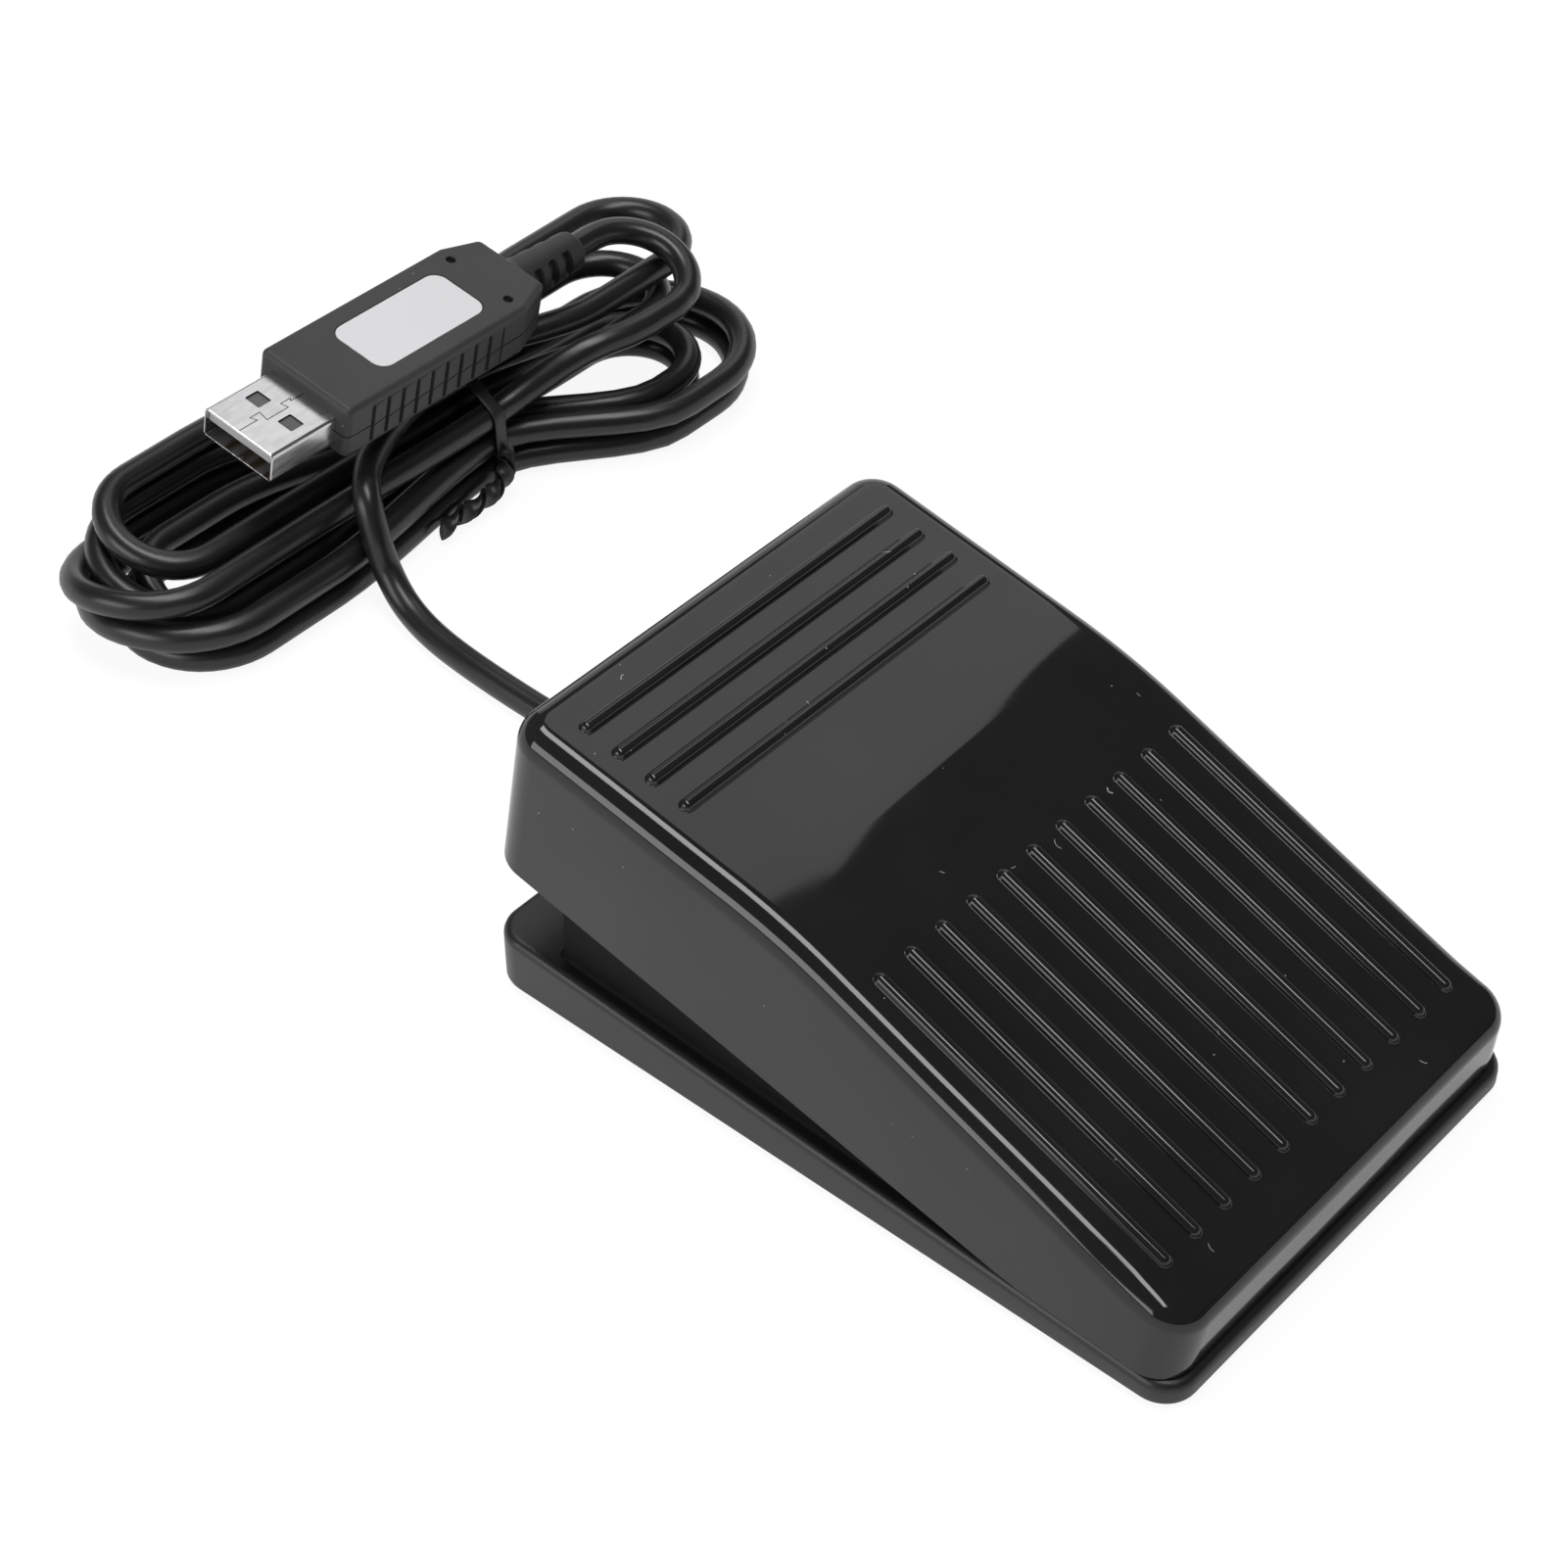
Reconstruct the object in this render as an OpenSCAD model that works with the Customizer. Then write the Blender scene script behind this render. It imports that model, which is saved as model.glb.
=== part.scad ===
// USB foot pedal switch: a rocking pedal on a wedge base, its cord tied in a hank and a USB plug with its controller
// Millimetres, +Z up, +Y from the heel (hinge end) to the toe (cord end), origin under the middle of the base

/* [Base] */
// width of the base
base_w = 64; // [56:0.5:76]
// length of the base
base_l = 97.4; // [88:0.2:112]
// radius of the base's upright corners
base_corner = 4.2; // [2:0.1:7]
// height of the rim at the heel end
rim_heel = 3.05; // [2.6:0.05:4.5]
// height of the rim at the toe end
rim_toe = 7.85; // [7.4:0.05:10]
// thickness of the base floor
floor_t = 1.8; // [1.4:0.1:2.2]
// how far the rubber feet stand proud
foot_proud = 0.6; // [0.3:0.1:1.5]
// diameter of a rubber foot
foot_d = 10; // [7:0.5:12]

/* [Pedal] */
// swing of the pedal from rest to its stop, in degrees
press_angle = 8; // [6:0.5:9]
// slope of the toe part, in degrees
toe_slope = 10.5; // [8:0.5:12]
// slope of the heel part, in degrees
heel_slope = 22; // [19:0.5:24]
// height of the pedal's top at the heel edge, above the base's underside
heel_top = 11.53; // [10.8:0.01:14]
// thickness of the top skin
skin_t = 2.2; // [1.8:0.1:2.8]
// radius of the pedal's top edges
edge_r = 3.2; // [2.4:0.1:3.6]
// width of a tread rib
rib_w = 2; // [1.4:0.1:2.6]
// step between the lengthwise ribs
rib_step = 5.156; // [4.4:0.01:5.3]
// step between the crosswise ribs
cross_step = 4.82; // [4:0.02:5.2]

/* [Hinge, spring and switch] */
// diameter of the hinge pins
pin_d = 3; // [2.4:0.1:3.6]
// distance of the hinge from the heel end
hinge_in = 21.3; // [19:0.1:24]
// outer diameter of the return spring
spring_d = 10; // [8:0.2:12]
// wire of the return spring
spring_wire = 1; // [0.8:0.05:1.2]
// length of the switch case
switch_l = 19.8; // [18:0.1:21]
// thickness of the switch case
switch_t = 6.4; // [5.8:0.1:7]
// height of the switch case
switch_h = 9.6; // [9:0.1:10]

/* [Cord] */
// diameter of the cord
cord_d = 3.8; // [3.4:0.05:4]
// least gap between neighbouring turns of the hank
turn_gap = 0.45; // [0.42:0.01:0.8]
// thickness of the tie band
tie_t = 0.4; // [0.3:0.05:0.6]

/* [Plug] */
// width of the plug's metal shell
shell_w = 12; // [11.9:0.05:12.1]
// height of the plug's metal shell
shell_h = 4.5; // [4.4:0.05:4.6]
// length of the metal shell in front of the housing
shell_out = 11.4; // [11:0.1:12]
// length of the plug housing
house_l = 39.2; // [36:0.2:44]
// width of the plug housing
house_w = 16; // [15.6:0.1:18]
// height of the plug housing
house_h = 8.1; // [7.8:0.1:9]

/* [Hidden] */
$fn = 48;

// clearances written once
seat_gap = 0.15;
run_fit = 0.06;
side_gap = 0.5;
touch = 0.02;

// base heights
zb = foot_proud;
heel_y = -base_l / 2;
toe_y = base_l / 2;
rim_tan = (rim_toe - rim_heel) / base_l;
rim_deg = atan(rim_tan);
function rim_z(y) = zb + rim_heel + (y - heel_y) * rim_tan;
function mix(a, b, t) = a + (b - a) * t;
function unit(v) = v / norm(v);
box_x = base_w / 2 - 2.4;
box_wall = 1.8;
box_heel = heel_y + 3.3;
box_toe = toe_y - 9.2;
box_top_heel = zb + 8;
box_top_toe = zb + 14.5;
floor_z = zb + floor_t;
rim_r = 1.1;

// pedal profile at rest
hinge_y = heel_y + hinge_in;
hinge_z = zb + 10.5;
kink_z = rim_z(hinge_y) + seat_gap;
rise_deg = rim_deg + press_angle + 0.8;
cap_x = base_w / 2 - 0.05;
cap_top_x = base_w / 2 - 1;
cap_heel_y = heel_y + 1;
cap_toe_y = toe_y - 0.8;
cap_heel_z = kink_z + (cap_heel_y - hinge_y) * rim_tan;
cap_toe_z = kink_z + (cap_toe_y - hinge_y) * tan(rise_deg);
toe_edge_y = toe_y - 3.7;
bend_y = toe_y - 42.8;
heel_edge_y = heel_y + 0.1;
heel_edge_z = zb + heel_top;
bend_z = heel_edge_z + (bend_y - heel_edge_y) * tan(heel_slope);
toe_edge_z = bend_z + (toe_edge_y - bend_y) * tan(toe_slope);
bend_r = 80;
heel_r = min(2.2, edge_r);
corner_r = 4.5;
wall_x = cap_x - 2;
function toe_plane(y) = toe_edge_z + (y - toe_edge_y) * tan(toe_slope);
function heel_plane(y) = bend_z + (y - bend_y) * tan(heel_slope);
function under_z(y) = min(toe_plane(y) - skin_t / cos(toe_slope), heel_plane(y) - skin_t / cos(heel_slope));

// tread ribs
cross_n = 4;
cross_y = toe_y - 10.7;
cross_half = base_w / 2 - 6;
long_n = 11;
long_y0 = heel_y + 6;
long_y1 = bend_y - 9.2;
rib_h = rib_w * 0.42;

// hinge
lug_x0 = base_w / 2 - 8.8;
lug_t = 3.6;
ear_t = 4.2;
ear_x0 = lug_x0 - side_gap - ear_t;
pin_x1 = lug_x0 + lug_t + 0.5;

// switch, its plunger close to the hinge so that it moves little
plunger_y = hinge_y + 8.4;
plunger_d = 2.6;
plunger_out = 1.7;
switch_y0 = plunger_y - 6.2;
switch_z0 = floor_z + 5.2;
switch_z1 = switch_z0 + switch_h;
wall_t = 1.8;
screw_y = [switch_y0 + 5.2, switch_y0 + switch_l - 4.8];
screw_z = switch_z0 + 2.4;
screw_d = 2.2;
term_y = [switch_y0 + 2.2, switch_y0 + switch_l / 2 + 1, switch_y0 + switch_l - 2.2];

// spring
spring_y = toe_y - 34;
spring_z0 = floor_z + 0.6;
spring_z1 = under_z(spring_y) - 9;
spring_turns = 8;

// cord route: hand-chosen round numbers behind the toe
exit_x = 4;
exit_z = zb + 4;
r = cord_d / 2;
row = cord_d + turn_gap;
row_z = [for (i = [0:3]) r + tie_t + 0.05 + i * row];
waist_x = 35.5;
waist_y = toe_y + 73.6;
waist_step = row + 0.55;
end_step = row + 0.7;
inner_r = 2.15 * cord_d;
end_r = 8.2;
left_mid = [for (d = [75.8, 75.4, 80]) toe_y + d];
right_mid = [for (d = [66.8, 65.4, 74.5, 77.1]) toe_y + d];
blend_x = [2, 59];
// turns at the two ends, in the order the cord meets them
left_apex = [-16.6, -19.6, -15, -20, -23, -24];
right_apex = [74, 70, 71, 79, 79];
top_apex = 81.2;
far_top = toe_y + 87.8;
// runs through the waist: side, level from the middle, layer
runs = [[-1, 0, 2], [1, 0, 2], [-1, 0, 1], [1, 0, 1], [-1, 0, 0], [1, 0, 0], [-1, 1, 0], [1, 1, 0],
    [-1, 1, 1], [1, 1, 1], [-1, 1, 2]];
run_n = 7;
turn_n = 6;

function smooth(t) = let (u = min(max(t, 0), 1)) u * u * (3 - 2 * u);
function left_y(k) = left_mid[k[2]] + k[0] * (end_r + end_step * k[1]);
function right_y(k) = right_mid[k[2]] + k[0] * (end_r + end_step * k[1]);
function waist_at(k) = waist_y + k[0] * waist_step * (0.5 + k[1]);
function run_pts(a, w, b, n, climb = 1) = [for (i = [0:n - 1]) let (x = a[0] + (b[0] - a[0]) * i / (n - 1),
    e = x < w[0] ? a : b, t = x < w[0] ? (w[0] - x) / (w[0] - blend_x[0]) : (x - w[0]) / (blend_x[1] - w[0]))
    [x, mix(w[1], e[1], smooth(t)), mix(w[2], e[2], smooth(t * climb))]];
function back(v) = [for (i = [len(v) - 1:-1:0]) v[i]];
function last(v) = v[len(v) - 1];
function turn_pts(p, q, apex, n) = [for (i = [1:n]) let (f = i / (n + 1), a = 180 * f)
    [mix(p[0], q[0], f) + (apex - (p[0] + q[0]) / 2) * sin(a), (p[1] + q[1]) / 2 + (p[1] - q[1]) / 2 * cos(a),
    mix(p[2], q[2], smooth(q[2] > p[2] ? 1.5 * f : 1.15 * f - 0.07))]];
function half_left(i) = i == 0 ? (far_top - left_y(runs[0])) / 2 : (left_y(runs[i - 1]) - left_y(runs[i])) / 2;
function half_right(i) = (right_y(runs[i + 1]) - right_y(runs[i])) / 2;
function run_of(i) = let (k = runs[i], z = row_z[k[2]], near = k[0] < 0, j = floor(i / 2), end = i == len(runs) - 1,
    xa = near ? left_apex[j] + half_left(i) : left_apex[j + 1] + half_left(i + 1),
    xb = end ? 62 : right_apex[j] - half_right(near ? i : i - 1), yb = end ? toe_y + 59.2 : right_y(k),
    p = run_pts([xa, left_y(k), z], [waist_x, waist_at(k), z], [xb, yb, z + (end ? 5.8 : 0)], run_n, end ? 1.35 : 1))
    near ? p : back(p);
function catmull(p, m) = let (n = len(p), e = concat([2 * p[0] - p[1]], p, [2 * p[n - 1] - p[n - 2]]))
    [for (i = [1:n - 1], k = [0:m - 1]) let (t = k / m, a = e[i - 1], b = e[i], c = e[i + 1], d = e[i + 2])
        0.5 * (2 * b + (c - a) * t + (2 * a - 5 * b + 4 * c - d) * t * t + (3 * b - a - 3 * c + d) * t * t * t)];

// plug pose: nose towards -X on top of the hank
plug_yaw = 2.3;
plug_pitch = 3.2;
plug_roll = 10.2;
hank_top = row_z[3] + r + tie_t;
house_up = house_h / 2 + 0.45;
house_down = house_h / 2 - 0.45;
plug_at = [-3, toe_y + 71.5, hank_top + house_down + 4.15];
function turn_x(p, a) = [p[0], p[1] * cos(a) - p[2] * sin(a), p[1] * sin(a) + p[2] * cos(a)];
function turn_y(p, a) = [p[0] * cos(a) + p[2] * sin(a), p[1], -p[0] * sin(a) + p[2] * cos(a)];
function turn_z(p, a) = [p[0] * cos(a) - p[1] * sin(a), p[0] * sin(a) + p[1] * cos(a), p[2]];
function plug_pt(p) = plug_at + turn_z(turn_y(turn_x(p, plug_roll), plug_pitch), plug_yaw);
house_x1 = shell_out + house_l;
boot_l = 13;
boot_x1 = house_x1 + boot_l;
boot_hold = 5;

// the lead from inside the base to the tie
gland_d = cord_d + 2.2;
gland_out = 3.6;
top_z3 = row_z[3];
clamp_y = toe_y - 16.6;
clamp_w = 4.4;
lead_in = clamp_y - clamp_w / 2 - 1;
top_w = [waist_x, waist_y + waist_step / 2, top_z3];
top_near = run_pts([waist_x - 1, top_w[1], top_z3], top_w, [top_apex - inner_r, right_mid[3] - inner_r, top_z3], 6);
join = [exit_x + 24, toe_y + 71.8, top_z3];
join_dir = unit(top_near[1] - join);
lead_keys = [[exit_x, toe_y + gland_out, exit_z], [exit_x, toe_y + gland_out + cord_d, exit_z], [exit_x, toe_y + 15, r + 1],
    [exit_x, toe_y + 24, r + 0.1], [exit_x + 0.3, toe_y + 36, r + 0.1], [exit_x + 1.2, toe_y + 46, r + 0.2],
    [exit_x + 2.6, toe_y + 53, r + 1], [exit_x + 3.6, toe_y + 57.4, r + 4], [exit_x + 4, toe_y + 59.6, r + 8.6],
    [exit_x + 5.4, toe_y + 62.2, r + 12.6], [exit_x + 9.4, toe_y + 66, top_z3 + 0.1], [exit_x + 15.4, toe_y + 69.3, top_z3],
    join - cord_d * join_dir];
lead_pts = concat([[exit_x, lead_in, exit_z], [exit_x, toe_y - 6, exit_z]], catmull(lead_keys, 3), [last(lead_keys), join]);

// the hank from the lead's end to the plug's boot
top_far = back(run_pts([left_apex[0] + half_left(0), far_top, top_z3], [waist_x, waist_y + waist_step * 1.5 + 0.6, top_z3],
    [top_apex - inner_r, right_mid[3] + inner_r, top_z3], run_n));
top_pts = concat([join, join + cord_d * join_dir], [for (i = [1:5]) top_near[i]],
    turn_pts(last(top_near), top_far[0], top_apex, turn_n), top_far);
function loop_pts(i) = concat(turn_pts(i == 0 ? last(top_far) : last(run_of(i - 1)), run_of(i)[0],
    i % 2 == 0 ? left_apex[i / 2] : right_apex[(i - 1) / 2], turn_n), run_of(i));
mid_pts = [for (i = [0:len(runs) - 1], p = loop_pts(i)) p];
tail_a = last(mid_pts);
boot_mid = plug_pt([boot_x1 - boot_hold, 0, 0]);
boot_out = plug_pt([boot_x1 + 0.5 * cord_d, 0, 0]);
boot_far = plug_pt([boot_x1 + cord_d, 0, 0]);
tail_b = [boot_far[0], tail_a[1], tail_a[2]];
tail_r = norm(boot_far - tail_b) / 2;
tail_keys = concat([mid_pts[len(mid_pts) - 2], tail_a], [for (a = [0:45:180]) mix(tail_b, boot_far, (1 - cos(a)) / 2) + [tail_r * sin(a), 0, 0]],
    [boot_out, boot_mid]);
tail_all = catmull(tail_keys, 3);
tail_pts = concat([for (i = [4:len(tail_all) - 1]) tail_all[i]], [boot_mid]);
hank_pts = concat(top_pts, mid_pts, tail_pts);

// least gap between turns, measured from point to point of the route
function least_gap(p) = min([for (i = [0:len(p) - 1]) min([for (j = [0:len(p) - 1])
    if (abs(i - j) > 4) norm(p[i] - p[j]) - cord_d])]);
echo(least_gap = least_gap(hank_pts), lead_gap = min([for (a = lead_pts, b = hank_pts)
    if (norm(a - hank_pts[0]) > 14) norm(a - b) - cord_d]));
function run_len(p) = norm([for (i = [1:len(p) - 1]) norm(p[i] - p[i - 1])] * [for (i = [1:len(p) - 1]) [1, 0]]);
echo(cord_length = run_len(lead_pts) + run_len(hank_pts));

// tube swept along a route
function tangent(p, i) = unit(p[min(i + 1, len(p) - 1)] - p[max(i - 1, 0)]);
module tube(p, rad, n) {
    pts = [for (i = [0:len(p) - 1]) let (t = tangent(p, i), s = unit(cross(t, [0, 0, 1])), u = cross(s, t))
        for (k = [0:n - 1]) p[i] + rad * (cos(360 * k / n) * s + sin(360 * k / n) * u)];
    sides = [for (i = [0:len(p) - 2], k = [0:n - 1], h = [0, 1]) let (a = i * n + k, b = i * n + (k + 1) % n)
        h == 0 ? [a, b, b + n] : [a, b + n, a + n]];
    polyhedron(pts, concat(sides, [[for (k = [n - 1:-1:0]) k]], [[for (k = [0:n - 1]) (len(p) - 1) * n + k]]));
}

// plan of a box with round corners
module round_plan(w, l, rad) {
    square([w - 2 * rad, l], center = true);
    square([w, l - 2 * rad], center = true);
    for (x = [-1, 1], y = [-1, 1]) translate([x * (w / 2 - rad), y * (l / 2 - rad)]) circle(rad);
}

// side profile drawn in Y and Z, pushed out along X
module side_plate(x0, x1, pts) translate([x0, 0, 0]) rotate([90, 0, 90]) linear_extrude(x1 - x0) polygon(pts);

module along_x(x0, x1, y, z, d) translate([x0, y, z]) rotate([0, 90, 0]) cylinder(h = x1 - x0, d = d);

module base_tray() color("#2b2b2d") difference() {
    union() {
        hull() for (x = [-1, 1], y = [-1, 1]) let (cy = y * (base_l / 2 - base_corner))
            translate([x * (base_w / 2 - base_corner), cy, 0]) {
                translate([0, 0, zb]) cylinder(h = 1, r = base_corner, $fn = 32);
                translate([0, 0, rim_z(cy) - rim_r]) rotate([rim_deg, 0, 0]) rotate_extrude($fn = 32)
                    translate([base_corner - rim_r, 0]) circle(rim_r, $fn = 16);
            }
        difference() {
            side_plate(-box_x, box_x, [[box_heel, zb + 1], [box_toe, zb + 1], [box_toe, box_top_toe], [box_heel, box_top_heel]]);
            translate([-box_x + box_wall, box_heel + box_wall, floor_z])
                cube([2 * (box_x - box_wall), box_toe - box_heel - 2 * box_wall, 40]);
        }
    }
    // the well inside the box, with its posts left standing
    difference() {
        translate([-box_x + box_wall, box_heel + box_wall, floor_z])
            cube([2 * (box_x - box_wall), box_toe - box_heel - 2 * box_wall, 40]);
        for (s = [-1, 1]) base_ear(s);
        switch_wall();
        translate([0, spring_y, floor_z - 1]) cylinder(h = 1.6 - touch, d = spring_d + 2);
        translate([0, spring_y, floor_z - 1]) cylinder(h = 5, d = spring_d - 2 * spring_wire - 1);
        for (s = [-1, 1]) translate([exit_x + s * 5.6, clamp_y, floor_z - 1]) clamp_post();
    }
    for (s = [-1, 1]) translate([exit_x + s * 5.6, clamp_y, floor_z - 0.6]) cylinder(h = 8, d = 1.8);
    for (s = [-1, 1]) along_x(s > 0 ? ear_x0 - 1 : -ear_x0 - ear_t - 1, s > 0 ? ear_x0 + ear_t + 1 : -ear_x0 + 1, hinge_y, hinge_z, pin_d);
    for (y = screw_y) along_x(switch_t / 2 - 1, switch_t / 2 + wall_t + 1, y, screw_z, screw_d);
    // the cord's way out through the toe
    translate([exit_x, box_toe - box_wall - 1, exit_z]) rotate([-90, 0, 0]) cylinder(h = 20, d = gland_d);
    // pockets for the feet
    for (x = [-1, 1], y = [-1, 1]) translate([x * foot_x, y * foot_y, zb - 1]) cylinder(h = 1.6, d = foot_d);
}

foot_x = base_w / 2 - 9;
foot_y = base_l / 2 - 9.5;

module base_ear(s) {
    x0 = s > 0 ? ear_x0 : -ear_x0 - ear_t;
    along_x(x0, x0 + ear_t, hinge_y, hinge_z, pin_d + 5);
    translate([x0, hinge_y - pin_d / 2 - 2.5, floor_z - 1]) cube([ear_t, pin_d + 5, hinge_z - floor_z + 1]);
}

module switch_wall() translate([switch_t / 2, switch_y0 + 1, floor_z - 1]) cube([wall_t, switch_l - 2, switch_z0 + 5.4 - floor_z + 1]);

clamp_z = exit_z + r * 0.5;
module clamp_post() cylinder(h = clamp_z - floor_z + 1 - touch, d = 4.6);

module rubber_feet() color("#161616") for (x = [-1, 1], y = [-1, 1]) translate([x * foot_x, y * foot_y, 0])
    cylinder(h = zb + 0.6, d = foot_d - 0.02);

module hinge_pins() color("#b9bcc0") for (s = [-1, 1]) along_x(s > 0 ? ear_x0 : -pin_x1, s > 0 ? pin_x1 : -ear_x0, hinge_y, hinge_z, pin_d);

// point on the top surface, moved inwards by a distance square to it
function inset(y, deg, z, d) = [y + d * sin(deg), z - d * cos(deg)];

module cap_skin() {
    bend_len = bend_r * tan((heel_slope - toe_slope) / 2);
    n = 4;
    arc = [for (i = [0:n]) let (a = mix(toe_slope, heel_slope, i / n), y0 = bend_y + bend_len * cos(toe_slope),
        c = [y0 + bend_r * sin(toe_slope), toe_plane(y0) - bend_r * cos(toe_slope)])
        [c[0] - (bend_r - edge_r) * sin(a), c[1] + (bend_r - edge_r) * cos(a)]];
    toe_c = inset(toe_edge_y - edge_r * 0.92, toe_slope, toe_plane(toe_edge_y - edge_r * 0.92), edge_r);
    heel_c = inset(heel_edge_y + heel_r * 0.8, heel_slope, heel_plane(heel_edge_y + heel_r * 0.8), heel_r);
    hull() {
        for (s = [-1, 1]) {
            translate([s * (cap_top_x - edge_r), toe_c[0], toe_c[1]]) sphere(edge_r, $fn = 24);
            for (c = arc) translate([s * (cap_top_x - edge_r), c[0], c[1]]) sphere(edge_r, $fn = 24);
            translate([s * (cap_top_x - heel_r), heel_c[0], heel_c[1]]) sphere(heel_r, $fn = 24);
            translate([s * (cap_x - corner_r), cap_toe_y - corner_r, cap_toe_z - corner_r * tan(rise_deg)])
                cylinder(h = 0.2, r = corner_r, $fn = 32);
            translate([s * (cap_x - corner_r), cap_heel_y + corner_r, cap_heel_z + 2 * corner_r * rim_tan])
                cylinder(h = 0.2, r = corner_r, $fn = 32);
            translate([s * (cap_x - 0.1) - 0.1, hinge_y - 0.1, kink_z]) cube([0.2, 0.2, 0.2]);
        }
    }
}

// tread rib: a capsule lying on the skin
module rib(len) rotate_extrude($fn = 24) {
    translate([0, rib_w / 2]) square([rib_w / 2, len - rib_w]);
    intersection() {
        for (y = [rib_w / 2, len - rib_w / 2]) translate([0, y]) circle(rib_w / 2, $fn = 24);
        square([rib_w, len]);
    }
}

module pedal_cap() color("#1a1a1c") difference() {
    union() {
        difference() {
            cap_skin();
            side_plate(-wall_x, wall_x, [[cap_heel_y + 1.7, -5], [cap_toe_y - 1.6, -5], [cap_toe_y - 1.6, cap_toe_z],
                [toe_edge_y - 2, under_z(toe_edge_y - 2)], [bend_y, under_z(bend_y)],
                [heel_edge_y + 2.2, under_z(heel_edge_y + 2.2)], [cap_heel_y + 1.7, cap_heel_z]]);
        }
        for (s = [-1, 1]) cap_lug(s);
        // actuator over the plunger
        translate([-2, plunger_y - 1.2, switch_z1 + plunger_out + 0.12])
            cube([4, 2.4, under_z(plunger_y) + 1 - (switch_z1 + plunger_out + 0.12)]);
        // spring seat
        translate([0, spring_y, spring_z1 + touch]) cylinder(h = 10, d = spring_d + 2);
        translate([0, spring_y, spring_z1 - 3]) cylinder(h = 4, d = spring_d - 2 * spring_wire - 1.4);
        for (i = [0:cross_n - 1]) let (y = cross_y - i * cross_step)
            translate([-cross_half, y, toe_plane(y) - rib_w / 2 + rib_h]) rotate([0, 90, 0]) rib(2 * cross_half);
        for (i = [0:long_n - 1]) let (x = (i - (long_n - 1) / 2) * rib_step)
            translate([x, long_y0, heel_plane(long_y0) - rib_w / 2 + rib_h]) rotate([heel_slope - 90, 0, 0])
                rib((long_y1 - long_y0) / cos(heel_slope));
    }
    for (s = [-1, 1]) along_x(s > 0 ? lug_x0 - 1 : -lug_x0 - lug_t - 1, s > 0 ? lug_x0 + lug_t + 1 : -lug_x0 + 1,
        hinge_y, hinge_z, pin_d + 2 * run_fit);
}

lug_rim = 2;
lug_foot = [hinge_y - pin_d / 2 - 1.5 * lug_rim, hinge_y + pin_d / 2 + 2 * lug_rim];
lug_root = 0.8;
module cap_lug(s) {
    x0 = s > 0 ? lug_x0 : -lug_x0 - lug_t;
    along_x(x0, x0 + lug_t, hinge_y, hinge_z, pin_d + 2 * lug_rim);
    side_plate(x0, x0 + lug_t, [[hinge_y - pin_d / 2 - lug_rim, hinge_z], [hinge_y + pin_d / 2 + lug_rim, hinge_z],
        [lug_foot[1], under_z(lug_foot[1]) + lug_root], [lug_foot[0], under_z(lug_foot[0]) + lug_root]]);
}

module return_spring() color("#c2c5c9") {
    n = 8 * spring_turns;
    rad = (spring_d - spring_wire) / 2;
    lo = spring_z0 + spring_wire / 2;
    hi = spring_z1 - spring_wire / 2;
    tube([for (i = [0:n]) let (a = 360 * i / 8) [rad * cos(a), spring_y + rad * sin(a), mix(lo, hi, i / n)]], spring_wire / 2, 6);
}

module switch_case() color("#26282c") difference() {
    translate([-switch_t / 2, switch_y0, switch_z0]) cube([switch_t - touch, switch_l, switch_h]);
    translate([0, plunger_y, switch_z0 + 4]) cylinder(h = switch_h, d = plunger_d + 2 * run_fit);
    for (y = screw_y) along_x(-switch_t, switch_t, y, screw_z, screw_d);
    for (y = term_y) translate([-1.6, y - 0.25, switch_z0 - 1]) cube([3.2, 0.5, 3]);
}

module switch_plunger() color("#b23c34") translate([0, plunger_y, switch_z0 + 5.6]) {
    cylinder(h = switch_h - 5.6 + plunger_out - 0.3, d = plunger_d);
    translate([0, 0, switch_h - 5.6 + plunger_out - 0.3]) cylinder(h = 0.3, d1 = plunger_d, d2 = plunger_d - 0.6);
}

module switch_terminals() color("#cfc7a8") for (y = term_y) difference() {
    translate([-1.6, y - 0.25, switch_z0 - 3.4]) cube([3.2, 0.5, 5.4]);
    translate([0, y, switch_z0 - 2]) rotate([90, 0, 0]) cylinder(h = 2, d = 1.3, center = true, $fn = 24);
}

module switch_screws() color("#a9adb2") for (y = screw_y) {
    along_x(-switch_t / 2, switch_t / 2 + wall_t, y, screw_z, screw_d);
    difference() {
        along_x(-switch_t / 2 - 1.3, -switch_t / 2, y, screw_z, 3.8);
        translate([-switch_t / 2 - 1, y, screw_z]) for (a = [0, 90]) rotate([a, 0, 0]) translate([-0.5, -1.3, -0.3]) cube([0.8, 2.6, 0.6]);
    }
}

wire_d = 1.2;
wire_x = [-10.4, -7.4];
module switch_wires() color("#8c2f2b") for (s = [0, 1]) {
    a = [exit_x + (s == 0 ? -0.95 : 0.95), lead_in - 0.05, exit_z];
    b = [-1.65, term_y[s], switch_z0 - 2];
    keys = [a, a - [0, 2 + 2 * s, 0], [wire_x[s] + 5, spring_y + 11 - 2.4 * s, floor_z + 1.6],
        [wire_x[s], spring_y + 2, floor_z + 1.2], [wire_x[s], spring_y - 10, floor_z + 1.2],
        [b[0] - 5.6, b[1] + 3.6, floor_z + 1.6], [b[0] - 1.8, b[1], b[2]], b];
    tube(concat(catmull(keys, 4), [b]), wire_d / 2, 8);
}

module cable_clamp() color("#333336") difference() {
    translate([exit_x - 8.2, clamp_y - clamp_w / 2, clamp_z]) cube([16.4, clamp_w, 2.6]);
    translate([exit_x, clamp_y - clamp_w, exit_z]) rotate([-90, 0, 0]) cylinder(h = 2 * clamp_w, d = cord_d);
    for (s = [-1, 1]) translate([exit_x + s * 5.6, clamp_y, clamp_z - 1]) cylinder(h = 5, d = 2);
}

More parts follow.
